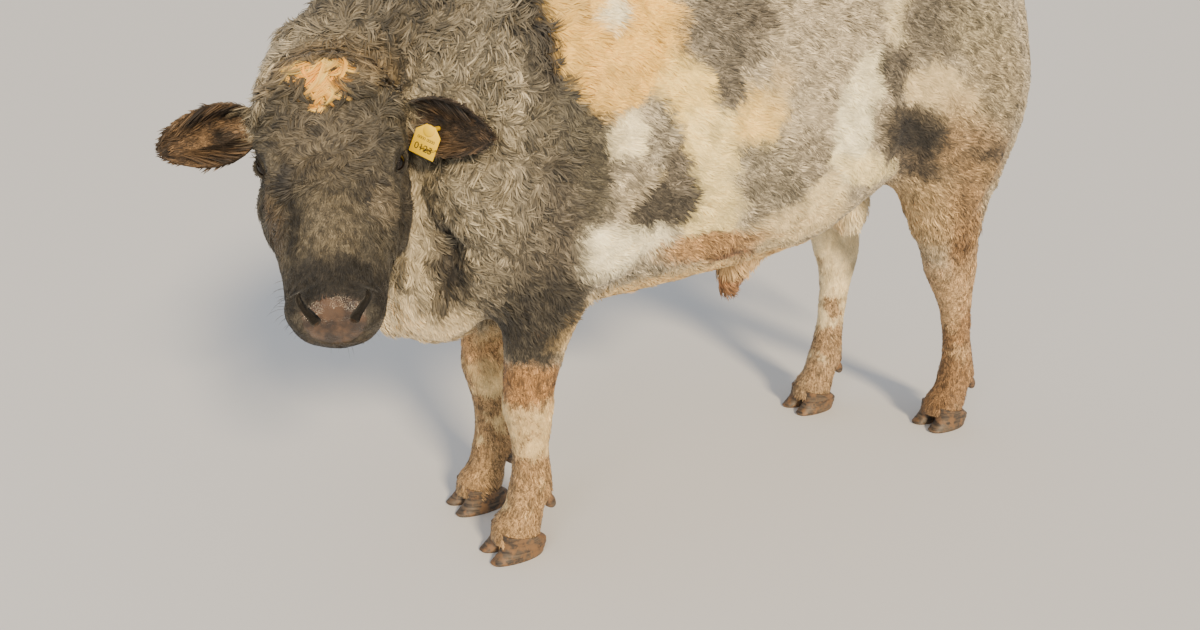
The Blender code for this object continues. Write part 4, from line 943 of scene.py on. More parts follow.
def build_ear(hand):
    """A cupped ear, open forwards, thick in the middle and thin at its rim."""
    bm = bmesh.new()
    rows = []
    lengths = 54
    sides = 26
    for step in range(lengths + 1):
        share = 0.985 * step / lengths
        row = []
        for face in (0, 1):
            order = range(sides + 1) if face == 0 else range(sides, -1, -1)
            for place in order:
                side = -1.0 + 2.0 * place / sides
                if face == 1 and abs(side) == 1.0:
                    continue
                thick = EAR_THICK * (1.0 - 0.4 * share) * (1.0 - 0.5 * side * side) - 0.0015
                row.append(ear_point(share, side * 0.985, 0.0010 + face * thick))
        rows.append(row)
    loft(bm, rows)
    bmesh.ops.transform(bm, matrix=ear_frame(hand), verts=bm.verts)
    return add_object("ear", bm)


def build_hanging(stations, inset, count=32):
    """A tail-like form along a smooth path, set in from the solids by the coat's depth."""
    rows = between_rows([(point, half, depth) for point, half, depth in stations], 8)
    side = Vector((1.0, 0.0, 0.0))
    rings = []
    for step, row in enumerate(rows):
        ahead = Vector(rows[min(step + 1, len(rows) - 1)][:3]) - Vector(rows[max(step - 1, 0)][:3])
        back = ahead.cross(side).normalized()
        half = max(row[3] - inset, 0.003)
        depth = max(row[4] - inset, 0.003)
        rings.append(ring(Vector(row[:3]), side, back, half, depth, depth, 2.1, 2.1, count))
    bm = bmesh.new()
    loft(bm, rings)
    return add_object("hanging", bm)


def finish_skin(skin):
    """Join lids, ears, tail, scrotum and sheath to the skin, and carve eye sockets, nostrils and mouth."""
    extra = [lid(hand, rise, thickness) for hand in HANDS for rise, thickness in LIDS]
    extra += [build_ear(hand) for hand in HANDS]
    extra += [build_hanging(TAIL, 0.003), build_hanging(SCROTUM, 0.0015), build_hanging(SHEATH, 0.002)]
    join_by_boolean(skin, extra, "UNION")
    cutters = [eye_ball("socket", hand, EYE_RADIUS + GAP) for hand in HANDS]
    cutters += [carve_fissure(hand) for hand in HANDS]
    tree = surface_tree(skin.data)
    cutters += [carve_nostril(hand, tree) for hand in HANDS]
    join_by_boolean(skin, cutters + [carve_mouth()], "DIFFERENCE")
    points = coords(skin.data)
    weights = np.zeros(len(points))
    for hand in HANDS:
        for share, reach in ((0.02, 0.034), (0.12, 0.016)):
            root = np.array(ear_frame(hand) @ Vector((share * EAR_LENGTH, 0.0, -0.02)))
            weights = np.maximum(weights, smoothstep(reach + 0.02, reach, np.linalg.norm(points - root, axis=1)))
    for root, reach in (((0.0, 1.44, 1.40), 0.06), ((0.0, 1.075, 0.83), 0.05), ((0.0, 0.95, 0.74), 0.05)):
        far = np.linalg.norm(points - np.array(root), axis=1)
        weights = np.maximum(weights, smoothstep(reach + 0.05, reach, far))
    soften(skin.data, 0.6 * weights, 10)
    add_values(skin.data, "hollow", depth_in_nostrils(points, tree))
    return skin


def depth_in_nostrils(points, tree):
    """0 on the outer skin, 1 on the inner walls of the nostrils."""
    depth = np.zeros(len(points))
    for hand in HANDS:
        middle = head_frame() @ mirrored(NOSTRIL[2][0], hand)
        away = np.linalg.norm(points - np.array(middle), axis=1)
        for place in np.flatnonzero(away < 0.040):
            depth[place] = tree.find_nearest(points[place].tolist())[3]
    return smoothstep(0.0012, 0.0040, depth)


# Coat

NOSE_PAD = ((0.0, -0.504, -0.058), (0.056, 0.040, 0.047))    # bare skin, in the head's own frame: centre, radii
WHORL = np.array((0.0, -0.190, 0.0))
PIECE_TRIANGLES = 180000
COATS = (                    # name, tufts, steps along each, seed
    ("coat_trunk", 205000, 2, 11),
    ("coat_curls", 74000, 3, 12),
    ("coat_face", 40000, 2, 13),
    ("coat_legs", 38000, 2, 14),
    ("coat_ears_and_tail", 15000, 2, 15),
)


def unit(vectors):
    return vectors / np.maximum(np.linalg.norm(vectors, axis=1), 1e-9)[:, None]


def along_surface(vectors, normals):
    """The part of each vector that lies in the surface, with a length of 1."""
    return unit(vectors - normals * (vectors * normals).sum(axis=1)[:, None])


def turn_about(vectors, normals, angles):
    """Turn vectors that lie in the surface by an angle."""
    side = np.cross(normals, vectors)
    return vectors * np.cos(angles)[:, None] + side * np.sin(angles)[:, None]


def ear_share(points):
    """How much each point belongs to an ear, whose skin is a thin shell."""
    share = np.zeros(len(points))
    for hand in HANDS:
        inside = in_frame(points, ear_frame(hand))
        reach = inside[:, 0] / EAR_LENGTH
        near = (reach > 0.02) & (reach < 1.08) & (np.abs(inside[:, 1]) < 0.08) & (np.abs(inside[:, 2]) < 0.09)
        places = np.flatnonzero(near)
        tree = ear_tree(hand)
        far = np.array([tree.find_nearest(point)[3] for point in points[places].tolist()])
        share[places] = np.maximum(share[places], smoothstep(0.0065, 0.0030, far)
                                   * smoothstep(0.02, 0.12, reach[places]))
    return share


@functools.cache
def ear_tree(hand):
    ear = build_ear(hand)
    tree = surface_tree(ear.data)
    bpy.data.objects.remove(ear, do_unlink=True)
    return tree


class Regions:
    """Which part of the bull each point of the skin belongs to, as shares from 0 to 1."""

    def __init__(self, points):
        local = to_head(points)
        self.local = local
        self.head = head_share(points)
        self.ear = ear_share(points)
        self.head *= 1.0 - self.ear
        self.leg = smoothstep(0.66, 0.54, points[:, 2]) * (np.abs(points[:, 0]) > 0.07)
        self.tail = (points[:, 1] > 1.535) & (points[:, 2] < 1.36)
        self.neck = smoothstep(0.06, -0.06, points[:, 1]) * smoothstep(0.60, 0.80, points[:, 2])
        self.neck *= (1.0 - self.head) * (1.0 - self.ear)
        self.forehead = self.head * smoothstep(-0.30, -0.20, local[:, 1]) * smoothstep(-0.16, -0.06, local[:, 2])
        self.cheek = self.head * smoothstep(-0.40, -0.32, local[:, 1]) * smoothstep(0.055, 0.09, np.abs(local[:, 0]))
        self.curly = np.maximum(np.maximum(self.neck * (0.55 + 0.45 * smoothstep(0.8, 1.1, points[:, 2])),
                                           self.forehead), 0.8 * self.cheek)
        self.muzzle = self.head * smoothstep(-0.40, -0.47, local[:, 1])
        self.hanging = in_egg(points, (0.0, 1.065, 0.66), (0.075, 0.065, 0.10)) < 1.0
        self.bare = in_egg(local, *NOSE_PAD) < 1.0
        self.from_eye = np.full(len(points), 1.0)
        self.off_eye = np.zeros((len(points), 3))
        for hand in HANDS:
            slit = [np.array(point) * (hand, 1.0, 1.0) for point, _ in NOSTRIL]
            self.bare |= distance_to_line(local, slit) < 0.012
            frame = eye_frame(hand)
            eye = in_frame(points, frame)
            far = np.linalg.norm(eye, axis=1)
            here = far < self.from_eye
            self.from_eye[here] = far[here]
            self.off_eye[here] = (eye[here] * np.array((1.0, 1.0, 0.0))) @ np.array(frame.to_3x3()).T
            front = np.linalg.norm(eye / np.array((0.0195, 0.0135, 0.04)), axis=1) < 1.0
            self.bare |= front & (eye[:, 2] > 0.0)
            self.bare |= far < EYE_RADIUS + 0.0009
        self.open = smoothstep(0.028, 0.075, self.from_eye)
        lips = np.abs(local[:, 2] - MOUTH_LEVEL) < 0.0035
        self.bare |= lips & (local[:, 1] < -0.46)
        self.bare |= points[:, 2] < HEEL_HEIGHT


def density(which, area):
    """How many tufts grow at a point, against the trunk's."""
    free = (~area.bare).astype(float)
    limbs = np.maximum(area.leg, area.tail)
    plain = (1.0 - area.head) * (1.0 - area.ear) * (1.0 - limbs)
    if which == "coat_trunk":
        return free * plain * (1.0 - area.neck) * np.where(area.hanging, 0.3, 1.0)
    if which == "coat_curls":
        return free * (area.neck + 3.2 * area.forehead + 2.4 * area.cheek * (1.0 - area.forehead))
    if which == "coat_face":
        return free * area.head * (1.0 - area.forehead) * (1.0 - 0.6 * area.cheek) * (1.0 + 1.5 * area.muzzle)
    if which == "coat_legs":
        return free * area.leg
    return free * (area.ear + 0.6 * area.tail)


def lie_of_coat(points, normals, area):
    """Direction in which the hair lies, along the skin."""
    high = smoothstep(1.15, 1.42, points[:, 2])
    down = -0.5 + 0.42 * high
    down -= 1.4 * smoothstep(0.85, 0.60, points[:, 2]) * (np.abs(normals[:, 2]) < 0.8)
    back = np.stack([np.zeros(len(points)), np.ones(len(points)), down], axis=1)
    front = points - (np.array(POLL) + np.array((-0.05, 0.05, 0.10)))
    front = unit(front) + np.array((0.0, 0.1, -0.35))
    body = back * (1.0 - area.neck)[:, None] + front * area.neck[:, None]
    limb = np.stack([np.zeros(len(points)), np.full(len(points), 0.12), -np.ones(len(points))], axis=1)
    limbs = np.maximum(area.leg, area.tail)[:, None]
    body = body * (1.0 - limbs) + limb * limbs
    away = area.local - WHORL
    away[:, 2] = -0.10 * smoothstep(0.06, 0.12, np.abs(area.local[:, 0]))
    away[:, 0] *= 0.8
    away[:, 1] -= 0.05 * smoothstep(-0.25, -0.32, area.local[:, 1])
    face = unit(away) @ HEAD_AXES.T
    body = body * (1.0 - area.head)[:, None] + face * area.head[:, None]
    by_eye = smoothstep(0.050, 0.028, area.from_eye)[:, None]
    body = body * (1.0 - by_eye) + unit(area.off_eye) * by_eye
    for hand in HANDS:
        along = np.array(ear_frame(hand).to_3x3())[:, 0]
        here = (area.ear * ((area.local[:, 0] * hand) > 0.0))[:, None]
        body = body * (1.0 - here) + along * here
    return along_surface(body, normals)


def draw_roots(mesh, which, count, seed):
    """Random places on the skin, more where the coat is denser."""
    draw = np.random.default_rng(seed)
    mesh.calc_loop_triangles()
    corners = np.empty(len(mesh.loop_triangles) * 3, dtype=np.int32)
    mesh.loop_triangles.foreach_get("vertices", corners)
    corners = corners.reshape(-1, 3)
    points = coords(mesh)
    normals = normals_of(mesh)
    a, b, c = (points[corners[:, step]] for step in range(3))
    sizes = np.linalg.norm(np.cross(b - a, c - a), axis=1)
    weights = np.cumsum(sizes * density(which, Regions((a + b + c) / 3.0)))
    chosen = np.searchsorted(weights, draw.random(count) * weights[-1])
    shares = draw.random((count, 2))
    flip = shares.sum(axis=1) > 1.0
    shares[flip] = 1.0 - shares[flip]
    shares = np.column_stack([1.0 - shares.sum(axis=1), shares])
    places = sum(points[corners[chosen, step]] * shares[:, step:step + 1] for step in range(3))
    ups = unit(sum(normals[corners[chosen, step]] * shares[:, step:step + 1] for step in range(3)))
    return places, ups


def unwrap(points):
    """Places of points on a flat map of the skin: trunk, head and each leg unrolled round its own axis."""
    u = np.arctan2(points[:, 0], points[:, 2] - 0.95) / (2.0 * math.pi) + 0.5
    v = 0.42 + 0.57 * (points[:, 1] + 0.50) / 2.2
    local = to_head(points)
    on_head = head_share(points) > 0.5
    turn = np.arctan2(local[:, 0], local[:, 2] + 0.09) / (2.0 * math.pi) + 0.5
    u = np.where(on_head, 0.48 * turn, u)
    v = np.where(on_head, 0.40 * (local[:, 1] + 0.60) / 0.70, v)
    on_leg = (points[:, 2] < 0.62) & ~on_head
    for step, (leg, side) in enumerate((("foreleg", "left"), ("foreleg", "right"),
                                        ("hindleg", "left"), ("hindleg", "right"))):
        across, place = foot_place(leg, side)
        left = points[:, 0] * (1.0 if side == "left" else -1.0) > 0.0
        here = on_leg & left & ((points[:, 1] < 0.6) == (leg == "foreleg"))
        turn = np.arctan2(points[:, 0] - across, points[:, 1] - place) / (2.0 * math.pi) + 0.5
        u = np.where(here, 0.50 + 0.12 * step + 0.115 * turn, u)
        v = np.where(here, 0.40 * points[:, 2] / 0.62, v)
    return np.column_stack([u, v])


def blades(name, paths, normals, widths, tilts, shades, material, coloured_at=0):
    """One mesh of flat, tapered blades; paths has one row of points for each, coloured as at one of them."""
    count, stations = paths.shape[:2]
    steps = stations - 1
    if normals.ndim == 2:
        normals = np.repeat(normals[:, None], stations, axis=1)
    shape = np.sin(np.pi * (0.22 + 0.78 * np.arange(steps) / steps))
    verts = np.empty((count, 2 * steps + 1, 3))
    for step in range(steps):
        ahead = paths[:, step + 1] - paths[:, max(step - 1, 0)]
        across = unit(np.cross(normals[:, step], ahead))
        across = across * np.cos(tilts)[:, None] + normals[:, step] * np.sin(tilts)[:, None]
        half = (widths / 2.0 * shape[step])[:, None]
        verts[:, 2 * step] = paths[:, step] - across * half
        verts[:, 2 * step + 1] = paths[:, step] + across * half
    verts[:, -1] = paths[:, -1]
    faces = []
    totals = []
    for step in range(steps - 1):
        faces += [2 * step, 2 * step + 1, 2 * step + 3, 2 * step + 2]
        totals.append(4)
    faces += [2 * steps - 2, 2 * steps - 1, 2 * steps]
    totals.append(3)
    corners = (np.array(faces)[None, :] + (np.arange(count) * (2 * steps + 1))[:, None]).ravel()
    totals = np.tile(totals, count)
    mesh = bpy.data.meshes.new(name)
    mesh.vertices.add(count * (2 * steps + 1))
    mesh.vertices.foreach_set("co", verts.astype(np.float32).ravel())
    mesh.loops.add(len(corners))
    mesh.loops.foreach_set("vertex_index", corners.astype(np.int32))
    mesh.polygons.add(len(totals))
    mesh.polygons.foreach_set("loop_start", np.concatenate([[0], np.cumsum(totals)[:-1]]).astype(np.int32))
    mesh.update(calc_edges=True)
    patch = np.empty((2 * steps + 1, 2))
    patch[:, 0] = np.append(np.tile((-0.0015, 0.0015), steps), 0.0)
    patch[:, 1] = np.append(np.repeat(np.arange(steps), 2), steps) / steps * 0.003 - 0.0015
    places = (np.clip(unwrap(paths[:, 0]), 0.002, 0.998)[:, None, :] + patch[None]).reshape(-1, 2)
    layer = mesh.uv_layers.new(name="OFBake")
    layer.uv.foreach_set("vector", places[corners].astype(np.float32).ravel())
    roots = np.repeat(paths[:, coloured_at], 2 * steps + 1, axis=0) + np.array(SHIFT)
    mesh.attributes.new("root", "FLOAT_VECTOR", "POINT").data.foreach_set("vector", roots.astype(np.float32).ravel())
    add_values(mesh, "shade", np.repeat(shades, 2 * steps + 1))
    add_values(mesh, "ear", np.repeat(Regions(paths[:, 0]).ear, 2 * steps + 1))
    obj = settle(link_new(name, mesh), material)
    return obj


def add_values(mesh, name, values):
    mesh.attributes.new(name, "FLOAT", "POINT").data.foreach_set("value", values.astype(np.float32))


def coat_paths(roots, normals, heading, lengths, lifts, curls, steps):
    """Paths that rise from the skin, lie over and curl sideways."""
    paths = np.empty((len(roots), steps + 1, 3))
    paths[:, 0] = roots - normals * 0.0012
    flat = roots.copy()
    for step in range(1, steps + 1):
        share = step / steps
        ahead = turn_about(heading, normals, curls * (share - 0.5 / steps))
        flat = flat + ahead * (lengths / steps)[:, None]
        rise = lifts * lengths * math.sin(min(1.0, share * 1.25) * math.pi / 2) * (1.0 - 0.25 * share)
        paths[:, step] = flat + normals * rise[:, None]
    return paths


def tuft_sizes(roots, area):
    """Length, width and lift of each tuft, from its place on the body."""
    size = len(roots)
    low = smoothstep(0.80, 0.66, roots[:, 2]) * (1.0 - area.leg)
    length = np.full(size, 0.021) + 0.008 * low
    length = length * (1.0 - area.leg) + 0.013 * area.leg
    upper = smoothstep(0.85, 1.10, roots[:, 2])
    length = length * (1.0 - area.neck) + (0.025 + 0.006 * upper) * area.neck
    face = 0.013 - 0.006 * area.muzzle + 0.010 * area.cheek
    face = (face * (1.0 - area.forehead) + 0.022 * area.forehead) * (0.25 + 0.75 * area.open)
    length = length * (1.0 - area.head) + face * area.head
    length = np.where(area.ear > 0.3, 0.014, length)
    width = np.full(size, 0.0030) - 0.0010 * area.leg + 0.0002 * area.neck
    width = width * (1.0 - area.head) + (0.0016 + 0.0009 * area.forehead) * area.head
    width = np.where(area.ear > 0.3, 0.0022, width)
    lift = 0.10 + 0.10 * area.neck + 0.10 * area.forehead + 0.05 * area.cheek + 0.06 * low + 0.02 * area.leg
    return length, width, lift * (0.3 + 0.7 * area.open)


def grow_coat(skin, material):
    """Short hair all over the skin: long and curly on neck and forehead, flat elsewhere."""
    for which, count, steps, seed in COATS:
        roots, normals = draw_roots(skin.data, which, count, seed)
        order = np.argsort(roots[:, 1])
        roots = roots[order]
        normals = normals[order]
        draw = np.random.default_rng(seed + 100)
        area = Regions(roots)
        length, width, lift = tuft_sizes(roots, area)
        heading = lie_of_coat(roots, normals, area)
        area.curly *= area.open
        swirl = np.radians(14.0 + 44.0 * area.curly)
        coarse = waves(roots, 0.055, 31)
        fine = waves(roots, 0.020, 32)
        angle = swirl * (0.55 * coarse + 0.40 * fine) + draw.normal(0.0, 0.16, count)
        heading = turn_about(heading, normals, angle)
        curl = np.radians(15.0 + 55.0 * area.curly) * np.sign(fine) * draw.uniform(0.5, 1.2, count)
        ruffle = 1.0 + 0.30 * waves(roots, 0.030, 33)
        length = length * draw.uniform(0.75, 1.20, count) * np.clip(ruffle, 0.6, 1.4)
        lift = lift * draw.uniform(0.6, 1.4, count) * np.clip(ruffle, 0.5, 1.6)
        shade = np.clip(0.5 + 0.24 * waves(roots, 0.013, 34) + draw.normal(0.0, 0.17, count), 0.0, 1.0)
        paths = coat_paths(roots, normals, heading, length, lift, curl, steps)
        tilts = draw.uniform(-0.5, 0.5, count)
        pieces = math.ceil(count * (2 * steps - 1) / PIECE_TRIANGLES)
        for number, part in enumerate(np.array_split(np.arange(count), pieces)):
            blades(which + "_" + str(number + 1), paths[part], normals[part], width[part], tilts[part],
                   shade[part], material)


# Long hair

LOCK_STEPS = 7
LOCK_STRANDS = 20
POLL_LOCKS = 330
POLL_LENGTH = (0.036, 0.070)
SWITCH_STRANDS = 1300
EAR_STRANDS = 420
EAR_FRINGE = 520
LASHES = 34
WHISKERS = 90


def lock_on_surface(tree, start, heading, length, lift, curl):
    """Middle line of a lock that rises from the skin, follows its shape and curls sideways."""
    place, normal = tree.find_nearest(start)[:2]
    path = [place - normal * 0.003]
    ups = [normal]
    for step in range(1, LOCK_STEPS + 1):
        share = step / LOCK_STEPS
        heading = Matrix.Rotation(curl / LOCK_STEPS, 3, normal) @ heading
        heading = (heading - normal * heading.dot(normal)).normalized()
        place, normal = tree.find_nearest(place + heading * length / LOCK_STEPS)[:2]
        path.append(place + normal * lift * math.sin(math.pi * min(1.0, 0.12 + 0.62 * share)))
        ups.append(normal)
    return path, ups


def split_into_strands(paths, ups, count, spread, draw):
    """Strands that start side by side round each lock's middle line and close up towards its tip."""
    paths = np.repeat(np.array(paths), count, axis=0)
    ups = np.repeat(np.array(ups), count, axis=0)
    total, stations = paths.shape[:2]
    turn = draw.uniform(0.0, 2.0 * math.pi, total)
    reach = spread * np.sqrt(draw.random(total))
    moved = paths.copy()
    for step in range(stations):
        share = step / (stations - 1)
        ahead = paths[:, min(step + 1, stations - 1)] - paths[:, max(step - 1, 0)]
        across = unit(np.cross(ups[:, step], ahead))
        close = reach * (1.0 - 0.72 * share ** 1.3)
        moved[:, step] += across * (close * np.cos(turn))[:, None]
        moved[:, step] += ups[:, step] * (close * np.sin(turn) * 0.6)[:, None]
    return moved, ups


def grow_poll(tree, material):
    """Curly locks that part along the poll's crest and fall over the forehead, the sides and the nape."""
    draw = np.random.default_rng(21)
    frame = head_frame()
    turn = frame.to_3x3()
    paths = []
    ups = []
    for _ in range(POLL_LOCKS):
        ahead = draw.uniform(-0.105, 0.080)
        side = draw.uniform(-1.0, 1.0)
        half = 0.105 - 0.5 * max(0.0, ahead - 0.02) - 0.35 * max(0.0, -ahead - 0.03)
        start = frame @ Vector((half * side, -ahead, 0.06))
        heading = turn @ Vector((side + draw.normal(0.0, 0.30), -1.0, 0.0))
        curl = math.radians(draw.uniform(30.0, 150.0)) * (1.0 if draw.random() < 0.5 + 0.42 * side else -1.0)
        length = draw.uniform(*POLL_LENGTH) * (1.0 - 4.0 * max(0.0, abs(ahead) - 0.04)) * (1.1 - 0.3 * abs(side))
        lift = draw.uniform(0.004, 0.013) * (1.0 - 6.0 * max(0.0, -0.02 - ahead))
        path, up = lock_on_surface(tree, start, heading, length, lift, curl)
        paths.append(path)
        ups.append(up)
    strands, normals = split_into_strands(paths, ups, LOCK_STRANDS, 0.0075, draw)
    count = len(strands)
    shade = np.repeat(draw.uniform(0.2, 0.8, POLL_LOCKS), LOCK_STRANDS) + draw.normal(0.0, 0.14, count)
    blades("coat_poll", strands, normals, draw.uniform(0.0010, 0.0019, count), draw.uniform(-0.5, 0.5, count),
           np.clip(shade, 0.0, 1.0), material, 3)


def grow_switch(material):
    """Long wavy hair that hangs from the tail's end."""
    draw = np.random.default_rng(22)
    stations = 11
    centres = np.array([row[0] for row in SWITCH])
    halves = np.array([row[1] for row in SWITCH])
    knots = np.arange(len(SWITCH))
    first = draw.uniform(0.0, 0.34, SWITCH_STRANDS)
    last = np.minimum(1.0, first + draw.uniform(0.45, 0.72, SWITCH_STRANDS))
    turn = draw.uniform(0.0, 2.0 * math.pi, SWITCH_STRANDS)
    depth = np.sqrt(draw.uniform(0.15, 1.0, SWITCH_STRANDS))
    paths = np.empty((SWITCH_STRANDS, stations, 3))
    outward = np.stack([np.cos(turn), np.sin(turn), np.zeros(SWITCH_STRANDS)], axis=1)
    for step in range(stations):
        share = step / (stations - 1)
        place = (first + (last - first) * share) * (len(SWITCH) - 1)
        centre = np.stack([np.interp(place, knots, centres[:, axis]) for axis in range(3)], axis=1)
        half = np.interp(place, knots, halves)
        reach = half * (0.30 + 0.66 * depth * math.sin(math.pi * min(1.0, 0.15 + 0.8 * share)))
        sway = 0.006 * share * waves(centre + outward * 0.02, 0.05, 41 + step)
        paths[:, step] = centre + outward * (reach + sway)[:, None]
    blades("switch_hair", paths, outward, draw.uniform(0.0020, 0.0034, SWITCH_STRANDS),
           draw.uniform(-0.7, 0.7, SWITCH_STRANDS), draw.uniform(0.15, 0.9, SWITCH_STRANDS), material)


def grow_ear_hair(material):
    """Long hair inside each ear and a fringe along its rim."""
    draw = np.random.default_rng(23)
    paths = []
    ups = []
    for hand in HANDS:
        frame = ear_frame(hand)
        turn = frame.to_3x3()
        for number in range(EAR_STRANDS + EAR_FRINGE):
            fringe = number >= EAR_STRANDS
            across = math.copysign(draw.uniform(0.97, 1.0) if fringe else draw.uniform(0.15, 0.95) ** 0.6,
                                   draw.uniform(-1.0, 1.0))
            along = draw.uniform(0.10, 0.93) if fringe else draw.uniform(0.06, 0.62)
            length = draw.uniform(0.012, 0.022) if fringe else draw.uniform(0.028, 0.052)
            drift = 0.16 * math.copysign(1.0, across) if fringe else -0.22 * across
            path = []
            for step in range(5):
                share = step / 4
                depth = 0.0014 - (0.002 + length * 0.30) * share if not fringe else 0.001 - 0.004 * share
                place = min(0.99, along + 0.85 * length / EAR_LENGTH * share)
                point = ear_point(min(place, 0.97), across * (1.0 + drift * share), depth)
                point.x = place * EAR_LENGTH
                path.append(frame @ point)
            paths.append(path)
            ups.append(turn @ Vector((0.0, 0.0, 1.0)))
    count = len(paths)
    blades("coat_ear_hair", np.array(paths), np.array(ups), draw.uniform(0.0009, 0.0019, count),
           draw.uniform(-0.8, 0.8, count), draw.uniform(0.0, 0.75, count), material)


def grow_lashes(material):
    """Lashes on the upper lids."""
    draw = np.random.default_rng(24)
    paths = []
    ups = []
    for hand in HANDS:
        frame = eye_frame(hand)
        for number in range(LASHES):
            share = (number + draw.uniform(0.2, 0.8)) / LASHES
            along = math.radians(-LID_SPAN * 0.9 + 1.8 * LID_SPAN * share)
            height = math.radians(LIDS[0][0] - 2.0) * math.sin(math.pi * (0.08 + 0.84 * share)) ** 0.8
            outward = Vector((math.sin(along) * math.cos(height), math.sin(height),
                              math.cos(along) * math.cos(height)))
            length = draw.uniform(0.010, 0.016)
            lean = Vector((0.35 * math.sin(along), 0.10, 0.0))
            path = [frame @ (outward * (EYE_RADIUS + 0.004) + (outward + lean * step * 0.5 / 3
                    - Vector((0.0, 0.35 - 0.12 * step, 0.0))) * length * step / 3) for step in range(4)]
            paths.append(path)
            ups.append(frame.to_3x3() @ Vector((0.0, 1.0, 0.0)))
    count = len(paths)
    blades("coat_lashes", np.array(paths), np.array(ups), np.full(count, 0.0008), np.zeros(count),
           np.zeros(count), material)


def grow_whiskers(tree, material):
    """Stiff single hairs round the muzzle and chin."""
    draw = np.random.default_rng(25)
    frame = head_frame()
    paths = []
    ups = []
    for _ in range(WHISKERS):
        angle = draw.uniform(-2.6, 2.6)
        along = draw.uniform(0.42, 0.515)
        aim = frame @ Vector((0.14 * math.sin(angle), -along, -0.09 - 0.14 * math.cos(angle)))
        place, normal = tree.find_nearest(aim)[:2]
        length = draw.uniform(0.012, 0.034)
        lean = (frame.to_3x3() @ Vector((0.0, -1.0, -0.35))) * draw.uniform(0.1, 0.6)
        paths.append([place + (normal + lean * step / 3) * length * step / 3 for step in range(4)])
        ups.append(normal.orthogonal().normalized())
    count = len(paths)
    blades("coat_whiskers", np.array(paths), np.array(ups), draw.uniform(0.0005, 0.0008, count),
           np.zeros(count), draw.uniform(0.0, 1.0, count), material)


# Materials

def colour(code):
    """Turn an sRGB hex code into linear red, green, blue and alpha."""
    values = [int(code[place:place + 2], 16) / 255.0 for place in (1, 3, 5)]
    return tuple(v / 12.92 if v <= 0.04045 else ((v + 0.055) / 1.055) ** 2.4 for v in values) + (1.0,)


def add_node(tree, kind, links=None, **settings):
    """Add a node, set its properties, and link or fill its inputs, given by name or number."""
    node = tree.nodes.new(kind)
    for key, value in settings.items():
        setattr(node, key, value)
    for key, value in (links or {}).items():
        if isinstance(value, bpy.types.NodeSocket):
            tree.links.new(value, node.inputs[key])
        else:
            node.inputs[key].default_value = value
    return node


def mix_colours(tree, share, first, second, blend="MIX"):
    node = add_node(tree, "ShaderNodeMix", {0: share, 6: first, 7: second}, data_type="RGBA", blend_type=blend)
    return node.outputs[2]


def curve(tree, value, low, high, to_low=0.0, to_high=1.0):
    """Map a value smoothly from one range to another."""
    links = {"Value": value, "From Min": low, "From Max": high, "To Min": to_low, "To Max": to_high}
    return add_node(tree, "ShaderNodeMapRange", links, interpolation_type="SMOOTHSTEP").outputs[0]


def math_node(tree, operation, first, second=0.0, third=0.0):
    return add_node(tree, "ShaderNodeMath", {0: first, 1: second, 2: third}, operation=operation).outputs[0]


def noise(tree, place, scale, detail=3.0, roughness=0.55):
    links = {"Vector": place, "Scale": scale, "Detail": detail, "Roughness": roughness}
    return add_node(tree, "ShaderNodeTexNoise", links)


def blob(tree, place, centre, radii, edge, tilt=0.0):
    """1 inside an egg-shaped region of space, 0 outside, with a soft edge; tilt turns the egg about X."""
    inside = add_node(tree, "ShaderNodeMapping", {"Vector": place, "Location": centre, "Scale": radii,
                                                  "Rotation": (math.radians(tilt), 0.0, 0.0)}, vector_type="TEXTURE")
    reach = add_node(tree, "ShaderNodeVectorMath", {0: inside.outputs[0]}, operation="LENGTH").outputs["Value"]
    return curve(tree, reach, 1.0 + edge, 1.0 - edge)


CREAM = "#efcc8b"
PALE = "#a39881"
ROAN = "#6f6858"
GREY = "#575044"
TAN = "#ab8d65"
MUD = "#7d5d3c"
EAR_TAN = "#6b553d"
EAR_SKIN = "#2e251d"

